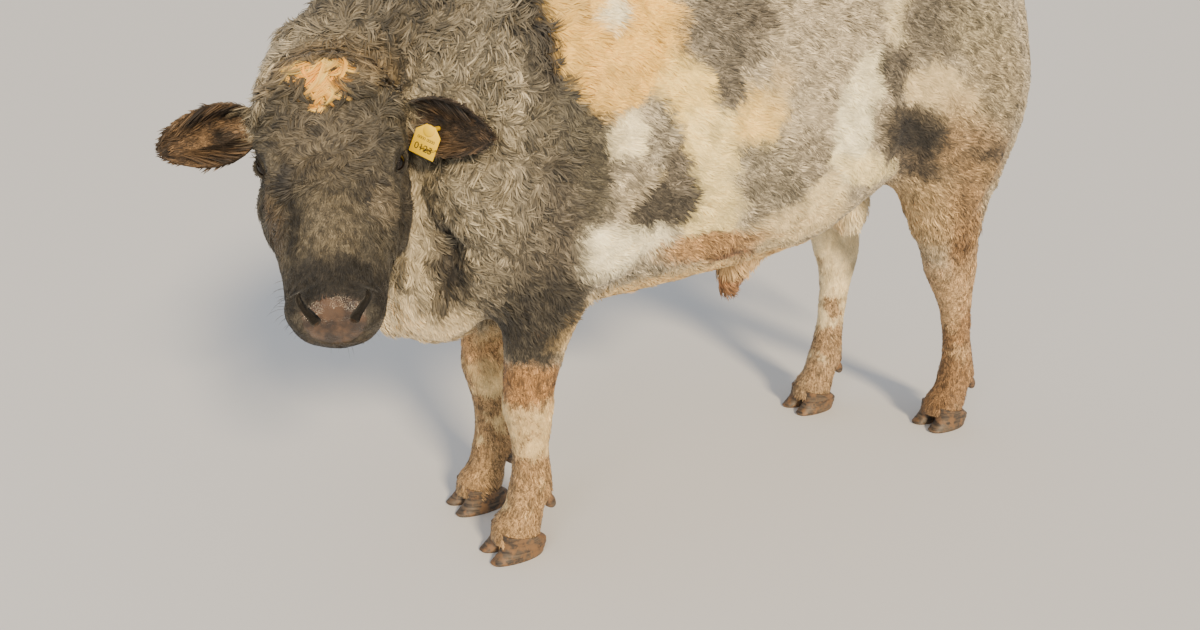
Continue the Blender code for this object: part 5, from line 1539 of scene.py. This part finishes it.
# Markings of both sides: place and radii along and up, tilt in degrees, colour, softness of the edge; those of
# the right side lie further back and lower by RIGHT_SHIFT
SIDE_X = 0.30
SIDE_REACH = 0.24
RIGHT_SHIFT = (0.07, -0.04)
SIDE_PATCHES = (
    ((0.559, 1.039), (0.434, 0.256), -10, "#a89c84", 0.5),
    # The next three patches draw the dark band down the front of the shoulder: partly dark grey coat, partly painted
    # shade where the shoulder's front turns away from the light beside the bulge of the neck.
    ((-0.010, 1.200), (0.200, 0.066), -75, "#24211d", 0.22),
    ((0.000, 1.110), (0.150, 0.045), -78, "#2a2620", 0.5),
    ((0.015, 0.980), (0.160, 0.100), -80, "#4b4639", 0.25),
    ((0.150, 1.218), (0.157, 0.126), 15, "#f4c663", 0.12),
    ((0.050, 1.295), (0.080, 0.040), 12, "#f0c76e", 0.25),
    ((0.105, 1.140), (0.070, 0.060), 23, "#f2c669", 0.3),
    ((0.274, 1.058), (0.135, 0.074), 86, "#f3d581", 0.15),
    ((0.381, 1.001), (0.108, 0.077), -11, "#f6e09a", 0.2),
    ((0.458, 1.054), (0.075, 0.061), 45, "#f1cf7c", 0.3),
    ((0.526, 1.132), (0.032, 0.030), 84, "#efc876", 0.5),
    ((0.354, 0.849), (0.125, 0.069), -64, "#f0dc9c", 0.3),
    ((0.139, 1.033), (0.057, 0.048), -51, "#f3e6bd", 0.35),
    ((0.114, 1.261), (0.034, 0.027), 21, "#faf0cc", 0.5),
    ((0.395, 1.228), (0.118, 0.092), 13, "#676053", 0.25),
    ((0.384, 1.116), (0.051, 0.042), -60, "#625b4e", 0.35),
    ((0.616, 1.167), (0.144, 0.129), 46, "#aa9e86", 0.5),
    ((0.480, 1.243), (0.048, 0.035), 39, "#575044", 0.5),
    ((0.226, 1.024), (0.085, 0.042), -78, "#8c8472", 0.3),
    ((0.149, 0.958), (0.040, 0.034), -12, "#8a816e", 0.4),
    ((0.154, 0.901), (0.055, 0.041), -81, "#a3977e", 0.5),
    ((0.231, 0.870), (0.097, 0.067), 14, "#403b32", 0.22),
    ((0.266, 0.949), (0.058, 0.025), -76, "#5c5549", 0.4),
    ((0.115, 0.785), (0.081, 0.067), -33, "#f9efcb", 0.3),
    ((0.205, 0.792), (0.070, 0.032), 0, "#f9efcb", 0.4),
    ((0.514, 0.907), (0.123, 0.079), -26, "#7c7462", 0.3),
    ((0.600, 0.952), (0.067, 0.052), -30, "#8f8571", 0.5),
    ((0.434, 0.960), (0.034, 0.023), -83, "#847c69", 0.5),
    ((0.391, 0.750), (0.137, 0.040), -4, "#b08a5a", 0.4),
    ((0.455, 0.719), (0.067, 0.020), -12, "#7d5d3d", 0.5),
    ((0.616, 0.777), (0.146, 0.061), 2, "#ecd5a3", 0.4),
    ((0.665, 0.850), (0.070, 0.050), 0, "#f0dba8", 0.4),
    ((0.890, 1.227), (0.075, 0.051), 51, "#ecdcb1", 0.35),
    ((0.758, 1.103), (0.074, 0.049), 60, "#f7ecc4", 0.3),
    ((0.720, 0.985), (0.105, 0.057), -90, "#faf1cc", 0.25),
    ((0.801, 0.894), (0.133, 0.034), -16, "#f6e4ac", 0.35),
    ((0.991, 1.208), (0.114, 0.089), -15, "#625b4d", 0.35),
    ((0.867, 1.109), (0.087, 0.057), -26, "#5c5548", 0.3),
    ((1.149, 1.182), (0.113, 0.075), -17, "#8d836a", 0.5),
    ((1.211, 1.042), (0.139, 0.104), -29, "#8d8168", 0.5),
    ((0.994, 1.068), (0.090, 0.050), -11, "#dcc799", 0.35),
    ((1.090, 0.997), (0.082, 0.050), -17, "#c9b388", 0.5),
    ((1.140, 0.897), (0.172, 0.087), -14, "#856e4f", 0.6),
    ((1.114, 0.734), (0.165, 0.094), -43, "#b89c70", 0.5),
    ((1.257, 0.677), (0.203, 0.075), -55, "#8a6e4a", 0.5),
    ((1.262, 0.835), (0.075, 0.060), -30, "#8a724f", 0.5),
    ((1.290, 0.560), (0.130, 0.042), -65, "#705435", 0.6),
    ((1.325, 0.440), (0.060, 0.050), -65, "#846844", 0.6),
    ((0.930, 0.962), (0.150, 0.072), -15, "#4c4436", 0.25),
    ((0.960, 0.948), (0.110, 0.048), -16, "#231f19", 0.40),
    ((1.012, 0.871), (0.104, 0.034), -16, "#4a4032", 0.5),
    ((1.235, 0.880), (0.091, 0.028), -13, "#544735", 0.5),
    ((-0.09, 0.82), (0.140, 0.23), 0, "#514a3e", 0.30),
    ((-0.02, 0.62), (0.120, 0.14), 0, "#332f27", 0.25),
    ((-0.14, 0.95), (0.045, 0.20), 0, GREY, 0.50),
)
MIDDLE_PATCHES = (           # place, radii, colour, softness
    ((0.00, -0.22, 1.02), (0.50, 0.20, 0.42), "#7e7561", 0.30),
    ((0.00, -0.20, 1.34), (0.26, 0.24, 0.17), "#5b5446", 0.40),
    ((0.00, 0.60, 1.47), (0.15, 0.66, 0.09), ROAN, 0.40),
    ((0.00, 0.52, 0.58), (0.40, 0.50, 0.155), CREAM, 0.20),
    ((0.30, 0.40, 0.755), (0.14, 0.13, 0.040), "#a98456", 0.45),
    ((0.26, 0.46, 0.71), (0.12, 0.07, 0.022), "#765638", 0.50),
    ((0.04, -0.24, 0.62), (0.16, 0.13, 0.10), "#e6d2aa", 0.25),
    # Next: painted shade, nearly black, in the hollow between the dewlap and the shoulder, down to the brisket.
    ((0.16, -0.21, 0.78), (0.06, 0.06, 0.14), "#2f2a22", 0.40),
    # Next: a pale strip that is painted light on the lit edge of the dewlap fold below the jaw.
    ((0.138, -0.26, 0.87), (0.036, 0.06, 0.21), "#aca086", 0.45),
    ((0.00, 0.00, 0.175), (0.30, 0.20, 0.33), "#e6cb94", 0.08),
    ((0.18, -0.02, 0.455), (0.11, 0.11, 0.055), "#8c6840", 0.35),
    ((-0.16, -0.02, 0.45), (0.11, 0.11, 0.050), "#a58258", 0.45),
    ((0.16, 1.40, 0.32), (0.14, 0.32, 0.30), TAN, 0.25),
    ((-0.15, 1.16, 0.25), (0.14, 0.22, 0.52), "#f0deb3", 0.15),
    ((0.00, 1.07, 0.69), (0.08, 0.09, 0.14), "#f3e2b9", 0.10),
    ((0.00, 0.78, 0.62), (0.06, 0.26, 0.16), "#dcbd8b", 0.15),
    ((0.00, 0.66, 0.53), (0.05, 0.05, 0.05), "#866344", 0.35),
    ((0.00, 1.60, 0.80), (0.12, 0.10, 0.50), "#9c917b", 0.15),
)
HEAD_PATCHES = (             # in the head's own frame
    ((0.00, -0.27, -0.06), (0.175, 0.31, 0.20), "#3f3a2f", 0.12),
    ((0.00, -0.17, 0.010), (0.085, 0.085, 0.060), "#484134", 0.45),
    ((0.080, -0.275, -0.03), (0.026, 0.045, 0.040), "#5f5646", 0.45),
    ((0.000, -0.335, 0.000), (0.050, 0.075, 0.050), "#5a5242", 0.50),
    ((0.110, -0.225, -0.110), (0.050, 0.075, 0.050), "#373229", 0.45),
    ((0.00, 0.020, 0.000), (0.150, 0.075, 0.110), "#685a43", 0.35),
    # Next two: painted shade, a dark band down the right side of the face from the inner corner of the eye, where
    # the face turns away from the light.
    ((-0.068, -0.235, -0.010), (0.012, 0.045, 0.040), "#1c1915", 0.60),
    ((-0.064, -0.335, -0.022), (0.012, 0.070, 0.040), "#1f1c16", 0.60),
    ((-0.102, -0.290, -0.050), (0.022, 0.085, 0.040), "#453a2b", 0.50),
    # Next two: painted shade in the crease from the inner corner of the left eye and in the line that runs down from
    # it.
    ((0.080, -0.236, -0.017), (0.022, 0.008, 0.020), "#211d17", 0.60),
    ((0.058, -0.270, -0.016), (0.007, 0.030, 0.020), "#242019", 0.60),
    ((0.00, -0.46, -0.060), (0.115, 0.066, 0.090), "#1e1b16", 0.30),
    ((0.00, -0.47, -0.125), (0.100, 0.090, 0.040), "#33281b", 0.40),
)
# Dark rim round each eye: partly the dark skin of the lids, partly painted shade of the lids.
EYE_RIM = ((0.031, 0.025, 0.034), "#120f0b", 0.40)     # radii round the eye, colour, softness
FORELOCK = (                 # in the head's own frame: place, radii
    ((-0.006, -0.038, 0.030), (0.042, 0.026, 0.060)),
    ((-0.006, -0.062, 0.030), (0.026, 0.030, 0.060)),
    ((-0.008, -0.090, 0.030), (0.012, 0.028, 0.060)),
    ((0.036, -0.020, 0.030), (0.018, 0.016, 0.060)),
    ((-0.046, -0.022, 0.030), (0.018, 0.014, 0.060)),
)


def markings_group():
    """The colour of hide and hair at any place, shared by the skin and every lock."""
    tree = bpy.data.node_groups.new("Markings", "ShaderNodeTree")
    tree.interface.new_socket("Place", in_out="INPUT", socket_type="NodeSocketVector")
    tree.interface.new_socket("Shade", in_out="INPUT", socket_type="NodeSocketFloat")
    tree.interface.new_socket("Ear", in_out="INPUT", socket_type="NodeSocketFloat")
    tree.interface.new_socket("Color", in_out="OUTPUT", socket_type="NodeSocketColor")
    inputs = add_node(tree, "NodeGroupInput")
    outputs = add_node(tree, "NodeGroupOutput")
    place = add_node(tree, "ShaderNodeVectorMath", {0: inputs.outputs["Place"], 1: tuple(SHIFT)},
                     operation="SUBTRACT").outputs[0]
    # Ragged edges of the patches: bays of about 140 mm, and tongues of hair of about 24 mm
    coarse = noise(tree, place, 7.0, 4.0, 0.6).outputs["Color"]
    fine = noise(tree, place, 42.0, 3.0, 0.6).outputs["Color"]
    moved = place
    for source, reach in ((coarse, 0.075), (fine, 0.050)):
        centred = add_node(tree, "ShaderNodeVectorMath", {0: source, 1: (0.5, 0.5, 0.5)}, operation="SUBTRACT")
        scaled = add_node(tree, "ShaderNodeVectorMath", {0: centred.outputs[0], 3: reach}, operation="SCALE")
        moved = add_node(tree, "ShaderNodeVectorMath", {0: moved, 1: scaled.outputs[0]}, operation="ADD").outputs[0]
    parts = add_node(tree, "ShaderNodeSeparateXYZ", {0: moved}).outputs
    right = curve(tree, parts[0], 0.06, -0.06)
    offset = add_node(tree, "ShaderNodeCombineXYZ", {
        0: math_node(tree, "ABSOLUTE", parts[0]),
        1: math_node(tree, "MULTIPLY_ADD", right, -RIGHT_SHIFT[0], parts[1]),
        2: math_node(tree, "MULTIPLY_ADD", right, -RIGHT_SHIFT[1], parts[2])}).outputs[0]
    shade = colour(PALE)
    for (along, up), (length, height), tilt, code, edge in SIDE_PATCHES:
        mask = blob(tree, offset, (SIDE_X, along, up), (SIDE_REACH, length, height), edge, tilt)
        shade = mix_colours(tree, mask, shade, colour(code))
    for centre, radii, code, edge in MIDDLE_PATCHES:
        shade = mix_colours(tree, blob(tree, moved, centre, radii, edge), shade, colour(code))
    # Clouds of lighter and darker roan, about 42 mm across
    cloud = noise(tree, place, 24.0, 3.0, 0.6).outputs["Fac"]
    cloud = curve(tree, cloud, 0.30, 0.70, 0.80, 1.22)
    cloud = add_node(tree, "ShaderNodeCombineColor", {0: cloud, 1: cloud, 2: cloud}).outputs[0]
    shade = mix_colours(tree, 1.0, shade, cloud, "MULTIPLY")
    frame = head_frame()
    in_head = add_node(tree, "ShaderNodeMapping", {"Vector": place, "Location": frame.translation,
                                                   "Rotation": frame.to_euler()}, vector_type="TEXTURE").outputs[0]
    small = add_node(tree, "ShaderNodeVectorMath", {0: fine, 1: (0.5, 0.5, 0.5)}, operation="SUBTRACT")
    small = add_node(tree, "ShaderNodeVectorMath", {0: small.outputs[0], 3: 0.03}, operation="SCALE")
    in_head = add_node(tree, "ShaderNodeVectorMath", {0: in_head, 1: small.outputs[0]}, operation="ADD").outputs[0]
    for centre, radii, code, edge in HEAD_PATCHES:
        shade = mix_colours(tree, blob(tree, in_head, centre, radii, edge), shade, colour(code))
    lock = 0.0
    for centre, radii in FORELOCK:
        lock = math_node(tree, "MAXIMUM", blob(tree, in_head, centre, radii, 0.28), lock)
    shade = mix_colours(tree, lock, shade, mix_colours(tree, curve(tree, noise(tree, place, 60.0).outputs["Fac"],
                        0.35, 0.65), colour("#dd9a34"), colour("#fbd873")))
    # Dark rims round the eyes: dark lid skin, and partly painted shade of the lids.
    for hand in HANDS:
        radii, code, edge = EYE_RIM
        centre = mirrored(EYE_PLACE, hand)
        shade = mix_colours(tree, blob(tree, in_head, centre, radii, edge), shade, colour(code))
    ear = mix_colours(tree, curve(tree, noise(tree, place, 20.0).outputs["Fac"], 0.42, 0.66),
                      colour(EAR_SKIN), colour(EAR_TAN))
    shade = mix_colours(tree, inputs.outputs["Ear"], shade, ear)
    height = add_node(tree, "ShaderNodeSeparateXYZ", {0: place}).outputs[2]
    # Dried mud in cakes of about 90 mm, thicker towards the floor
    dirt = noise(tree, place, 11.0, 5.0, 0.65).outputs["Fac"]
    low = curve(tree, height, 0.62, 0.10, 0.0, 0.34)
    mud = curve(tree, math_node(tree, "ADD", dirt, low), 0.62, 0.78)
    mud = math_node(tree, "MULTIPLY", mud, curve(tree, height, 0.80, 0.45, 0.0, 0.85))
    shade = mix_colours(tree, mud, shade, colour(MUD))
    pale = curve(tree, add_node(tree, "ShaderNodeRGBToBW", {0: shade}).outputs[0], 0.15, 0.60)
    darkest = curve(tree, pale, 0.0, 1.0, 0.40, 0.80)
    palest = curve(tree, pale, 0.0, 1.0, 1.75, 1.12)
    strength = add_node(tree, "ShaderNodeMapRange", {"Value": inputs.outputs["Shade"], "To Min": darkest,
                                                     "To Max": palest}).outputs[0]
    # Single white and dark hairs of a roan coat are too fine to show, so they are drawn as flecks of 8 mm
    fleck = curve(tree, noise(tree, place, 125.0, 2.0, 0.6).outputs["Fac"], 0.34, 0.66)
    fleck = add_node(tree, "ShaderNodeMapRange", {"Value": fleck, "To Min": curve(tree, pale, 0.0, 1.0, 0.50, 0.90),
                                                  "To Max": curve(tree, pale, 0.0, 1.0, 1.60, 1.06)}).outputs[0]
    strength = math_node(tree, "MULTIPLY", strength, fleck)
    bright = add_node(tree, "ShaderNodeCombineColor", {0: strength, 1: strength, 2: strength}).outputs[0]
    shade = mix_colours(tree, 1.0, shade, bright, "MULTIPLY")
    tree.links.new(shade, outputs.inputs["Color"])
    return tree


def new_material(name):
    material = bpy.data.materials.new(name)
    material.use_nodes = True
    return material, material.node_tree, material.node_tree.nodes["Principled BSDF"]


def fill(shader, **values):
    for key, value in values.items():
        shader.inputs[key.replace("_", " ")].default_value = value


def hide_material(markings):
    """Hide under the coat: the markings with a grain of hair 2.4 mm wide, dull and without shine, and a little
    darker than the hair as painted shade under the coat.

    The bare nose is slate brown and glistens wet over pebbles of 2.2 mm; painted shade turns the inner walls of the
    nostrils black with their depth.
    """
    material, tree, shader = new_material("Short_haired_hide")
    place = add_node(tree, "ShaderNodeTexCoord").outputs["Object"]
    grain = noise(tree, place, 420.0, 3.0, 0.6).outputs["Fac"]
    group = add_node(tree, "ShaderNodeGroup", node_tree=markings)
    # The hide's tone range is set darker than the hair's, as painted shade under the coat.
    tree.links.new(curve(tree, grain, 0.3, 0.7, 0.0, 0.8), group.inputs["Shade"])
    tree.links.new(place, group.inputs["Place"])
    ear = add_node(tree, "ShaderNodeAttribute", attribute_name="ear")
    tree.links.new(ear.outputs["Fac"], group.inputs["Ear"])
    frame = head_frame()
    moved = frame.translation + SHIFT
    in_head = add_node(tree, "ShaderNodeMapping", {"Vector": place, "Location": moved,
                                                   "Rotation": frame.to_euler()}, vector_type="TEXTURE").outputs[0]
    bare = blob(tree, in_head, *NOSE_PAD, 0.16)
    nose = mix_colours(tree, curve(tree, noise(tree, place, 38.0).outputs["Fac"], 0.36, 0.66),
                       colour("#55402f"), colour("#2c221b"))
    shade = mix_colours(tree, bare, group.outputs["Color"], nose)
    # Painted shade: the inner walls of the nostrils turn black with their depth below the outer skin.
    hollow = add_node(tree, "ShaderNodeAttribute", attribute_name="hollow").outputs["Fac"]
    shade = mix_colours(tree, hollow, shade, colour("#0b0807"))
    tree.links.new(shade, shader.inputs["Base Color"])
    tree.links.new(curve(tree, math_node(tree, "SUBTRACT", bare, hollow), 0.0, 1.0, 0.86, 0.25),
                   shader.inputs["Roughness"])
    pebbles = add_node(tree, "ShaderNodeTexVoronoi", {"Vector": place, "Scale": 460.0}).outputs["Distance"]
    height = mix_colours(tree, bare, grain, pebbles)
    bump = add_node(tree, "ShaderNodeBump", {"Height": height, "Strength": 0.45, "Distance": 0.002})
    tree.links.new(bump.outputs["Normal"], shader.inputs["Normal"])
    fill(shader, Sheen_Weight=0.1, Sheen_Roughness=0.5)
    return material


def hair_material(markings):
    """Dry hair, coloured by the place of its root, with a faint silky shine along the back."""
    material, tree, shader = new_material("Soft_hair")
    root = add_node(tree, "ShaderNodeAttribute", attribute_name="root")
    shade = add_node(tree, "ShaderNodeAttribute", attribute_name="shade")
    group = add_node(tree, "ShaderNodeGroup", node_tree=markings)
    tree.links.new(root.outputs["Vector"], group.inputs["Place"])
    tree.links.new(shade.outputs["Fac"], group.inputs["Shade"])
    ear = add_node(tree, "ShaderNodeAttribute", attribute_name="ear")
    tree.links.new(ear.outputs["Fac"], group.inputs["Ear"])
    tree.links.new(group.outputs["Color"], shader.inputs["Base Color"])
    fill(shader, Roughness=0.62, Sheen_Weight=0.15, Sheen_Roughness=0.4)
    return material


def eye_material():
    """Wet eye with one sharp glint: dark brown iris, a wide dark pupil, and a dull white round it."""
    material, tree, shader = new_material("Wet_eye")
    place = add_node(tree, "ShaderNodeUVMap", uv_map="Front").outputs[0]
    away = add_node(tree, "ShaderNodeVectorMath", {0: place, 1: (0.5, 0.5, 0.0)}, operation="SUBTRACT").outputs[0]
    reach = add_node(tree, "ShaderNodeVectorMath", {0: away}, operation="LENGTH").outputs["Value"]
    wide = add_node(tree, "ShaderNodeVectorMath", {0: away, 1: (1.0, 1.7, 0.0)}, operation="MULTIPLY").outputs[0]
    slot = add_node(tree, "ShaderNodeVectorMath", {0: wide}, operation="LENGTH").outputs["Value"]
    iris = mix_colours(tree, curve(tree, slot, 0.14, 0.20), colour("#030304"), colour("#150c06"))
    shade = mix_colours(tree, curve(tree, reach, 0.36, 0.41), iris, colour("#3a2c24"))
    tree.links.new(shade, shader.inputs["Base Color"])
    fill(shader, Roughness=0.10, Specular_IOR_Level=0.30)
    return material


def horn_material():
    """Dull horn of the claws in dark and light bands of about 6 mm, with patches of dried mud of 22 mm."""
    material, tree, shader = new_material("Claw_horn")
    place = add_node(tree, "ShaderNodeTexCoord").outputs["Object"]
    bands = add_node(tree, "ShaderNodeMapping", {"Vector": place, "Scale": (12.0, 12.0, 170.0)}).outputs[0]
    streak = noise(tree, bands, 1.0, 3.0).outputs["Fac"]
    horn = mix_colours(tree, curve(tree, streak, 0.35, 0.65), colour("#2e2824"), colour("#5f5142"))
    dirt = curve(tree, noise(tree, place, 45.0, 5.0, 0.65).outputs["Fac"], 0.45, 0.62)
    tree.links.new(mix_colours(tree, dirt, horn, colour("#75583c")), shader.inputs["Base Color"])
    bump = add_node(tree, "ShaderNodeBump", {"Height": streak, "Strength": 0.4, "Distance": 0.001})
    tree.links.new(bump.outputs["Normal"], shader.inputs["Normal"])
    fill(shader, Roughness=0.55)
    return material


def plain_material(name, code, roughness):
    """One even colour, such as the satin plastic of the tag, its dull ink or the chalky floor."""
    material, _, shader = new_material(name)
    fill(shader, Base_Color=colour(code), Roughness=roughness)
    return material


# Placing

SENSOR = 36.0                # width of the camera's film in millimetres
CAMERA_PLACE = (2.024, -0.901, 1.416)
CAMERA_TURN = (math.radians(30.0), math.radians(21.1))     # to the side and down
CAMERA_FOCUS = 1000.0 / 1200.0     # focal length over the picture's width
FLOOR_SIZE = 60.0
SKY = ("#eef1f4", 0.72)      # a dull daylight from all round: colour, strength
LAMPS = (                    # name, kind, place, target, size, strength, colour
    ("key", "SUN", (5.4, -0.3, 3.7), (0.1, 0.1, 0.8), 11.0, 5.2, "#ffe4b9"),
    ("front", "AREA", (3.4, -4.4, 3.0), (0.1, -0.4, 0.9), 3.0, 100.0, "#f8f2e8"),
)
SMOOTH_SKIN = 55.0           # edges steeper than this many degrees stay sharp
SMOOTH_CLAW = 50.0
SMOOTH_TAG = 40.0


def settle(obj, material, smooth_angle=None):
    """Move a finished piece into the frame of the solids and give it its material."""
    obj.data.transform(Matrix.Translation(SHIFT))
    obj.data.materials.clear()
    obj.data.materials.append(material)
    obj.data.shade_smooth()
    if smooth_angle is not None:
        obj.data.set_sharp_from_angle(angle=math.radians(smooth_angle))
    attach(obj, "root")
    return obj


def place_feet(horn):
    for leg in ("foreleg", "hindleg"):
        for side in ("left", "right"):
            across, place = foot_place(leg, side)
            for hand, which in ((1.0, "a"), (-1.0, "b")):
                end = leg[:4] + "_" + side + "_" + which
                claw = settle(build_claw("horn_" + end, across, place, hand), horn, SMOOTH_CLAW)
                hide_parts("claw_" + end)
                dewclaw = settle(build_dewclaw("dewclaw_horn_" + end, across, place + DEWCLAW_BEHIND, hand), horn)
                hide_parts("dewclaw_" + end)


def build_tag():
    """A five-sided plate held by a stud in the left ear."""
    frame = ear_frame(1.0) @ Matrix.Translation(TAG_PLACE) @ Matrix.Rotation(TAG_TURN, 4, "Z")
    half = TAG_WIDTH / 2
    outline = ((-half, -TAG_HEIGHT * 0.62), (half, -TAG_HEIGHT * 0.62), (half, TAG_HEIGHT * 0.12),
               (half * 0.35, TAG_HEIGHT * 0.38), (-half * 0.35, TAG_HEIGHT * 0.38), (-half, TAG_HEIGHT * 0.12))
    bm = bmesh.new()
    bottom = [bm.verts.new(frame @ Vector((x, y, 0.0))) for x, y in outline]
    top = [bm.verts.new(frame @ Vector((x, y, TAG_THICK))) for x, y in outline]
    bm.faces.new(bottom)
    bm.faces.new(top)
    for step in range(6):
        after = (step + 1) % 6
        bm.faces.new((bottom[step], bottom[after], top[after], top[step]))
    plate = add_object("yellow_tag", bm)
    bevel = plate.modifiers.new("round", "BEVEL")
    bevel.width = 0.0008
    bevel.segments = 2
    bake(plate)
    bm = bmesh.new()
    rings = []
    for radius, height in ((0.0045, -0.045), (0.0045, 0.001), (0.011, 0.0012), (0.011, TAG_THICK + 0.002),
                           (0.009, TAG_THICK + 0.003)):
        rings.append([frame @ Vector((math.cos(turn) * radius, TAG_HEIGHT * 0.22 + math.sin(turn) * radius, height))
                      for turn in (2 * math.pi * n / 28 for n in range(28))])
    loft(bm, rings)
    stud = add_object("tag_stud", bm)
    return plate, stud, print_tag(frame)


def print_tag(frame):
    """Plain dark digits on the tag."""
    bm = bmesh.new()
    for text, size, height in (("0123", 0.019, -0.46), ("0000 0000", 0.0085, -0.12)):
        data = bpy.data.curves.new("digits", "FONT")
        data.body = text
        data.size = size
        data.align_x = "CENTER"
        data.extrude = 0.0002
        data.resolution_u = 4
        obj = link_new("digits", data)
        graph = bpy.context.evaluated_depsgraph_get()
        mesh = bpy.data.meshes.new_from_object(obj.evaluated_get(graph))
        mesh.transform(frame @ Matrix.Translation((0.0, TAG_HEIGHT * height, TAG_THICK + 0.0001)))
        bm.from_mesh(mesh)
        bpy.data.objects.remove(obj, do_unlink=True)
    return add_object("tag_digits", bm)


def build_stage(floor_material):
    """A pale floor, wide and plain."""
    bpy.ops.mesh.primitive_plane_add(size=FLOOR_SIZE, location=(0.0, 0.0, 0.0))
    floor = bpy.context.object
    floor.name = "floor"
    floor.data.materials.append(floor_material)


def add_light(name, kind, place, target, size, strength, code):
    """A soft lamp; size is a disc's diameter in metres, or a sun's angle in degrees."""
    data = bpy.data.lights.new(name, kind)
    data.energy = strength
    data.color = colour(code)[:3]
    if kind == "SUN":
        data.angle = math.radians(size)
    else:
        data.shape = "DISK"
        data.size = size
    lamp = link_new(name, data)
    lamp.location = place
    lamp.rotation_euler = (Vector(target) - Vector(place)).to_track_quat("-Z", "Y").to_euler()


def light_scene():
    """A low warm sun from the bull's left, a soft lamp in front of it and a dull sky."""
    world = bpy.data.worlds.new("Studio")
    world.use_nodes = True
    code, strength = SKY
    background = world.node_tree.nodes["Background"]
    background.inputs["Color"].default_value = colour(code)
    background.inputs["Strength"].default_value = strength
    bpy.context.scene.world = world
    for lamp in LAMPS:
        add_light(*lamp)


def place_camera():
    """The camera that took the picture, with the same lens."""
    data = bpy.data.cameras.new("camera")
    data.sensor_width = SENSOR
    data.lens = SENSOR * CAMERA_FOCUS
    data.clip_start = 0.05
    camera = link_new("camera", data)
    turn, tilt = CAMERA_TURN
    ahead = Vector((-math.cos(turn) * math.cos(tilt), math.sin(turn) * math.cos(tilt), -math.sin(tilt)))
    camera.location = Vector(CAMERA_PLACE) + SHIFT
    camera.rotation_euler = ahead.to_track_quat("-Z", "Y").to_euler()
    bpy.context.scene.camera = camera


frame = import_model()
low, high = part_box("eye_left")
SHIFT = (low + high) / 2 - eye_frame(1.0).translation
FLESH = [name for name in frame["nodes"] if name.split("_")[0] in (
    "torso", "head", "neck", "foreleg", "hindleg", "ear", "tail", "scrotum", "sheath") and name != "ear_tag"]

markings = markings_group()
hide = hide_material(markings)
skin = finish_skin(build_body())
add_values(skin.data, "ear", Regions(coords(skin.data)).ear)
hair = hair_material(markings)
grow_coat(skin, hair)
skin_tree = surface_tree(skin.data)
grow_poll(skin_tree, hair)
grow_switch(hair)
grow_ear_hair(hair)
grow_lashes(hair)
grow_whiskers(skin_tree, hair)
settle(skin, hide, SMOOTH_SKIN)
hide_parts(*FLESH)

eye = eye_material()
for hand, side in ((1.0, "left"), (-1.0, "right")):
    ball = settle(eye_ball("wet_eye_" + side, hand, EYE_RADIUS - 0.0001), eye)
    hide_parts("eye_" + side)
place_feet(horn_material())
yellow = plain_material("Moulded_yellow_plastic", "#e9c00c", 0.4)
ink = plain_material("Dark_ink", "#23211f", 0.6)
for piece in build_tag():
    settle(piece, ink if piece.name == "tag_digits" else yellow, SMOOTH_TAG)
    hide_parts("ear_tag")

build_stage(plain_material("Pale_floor", "#d6d8dc", 0.9))
light_scene()
place_camera()
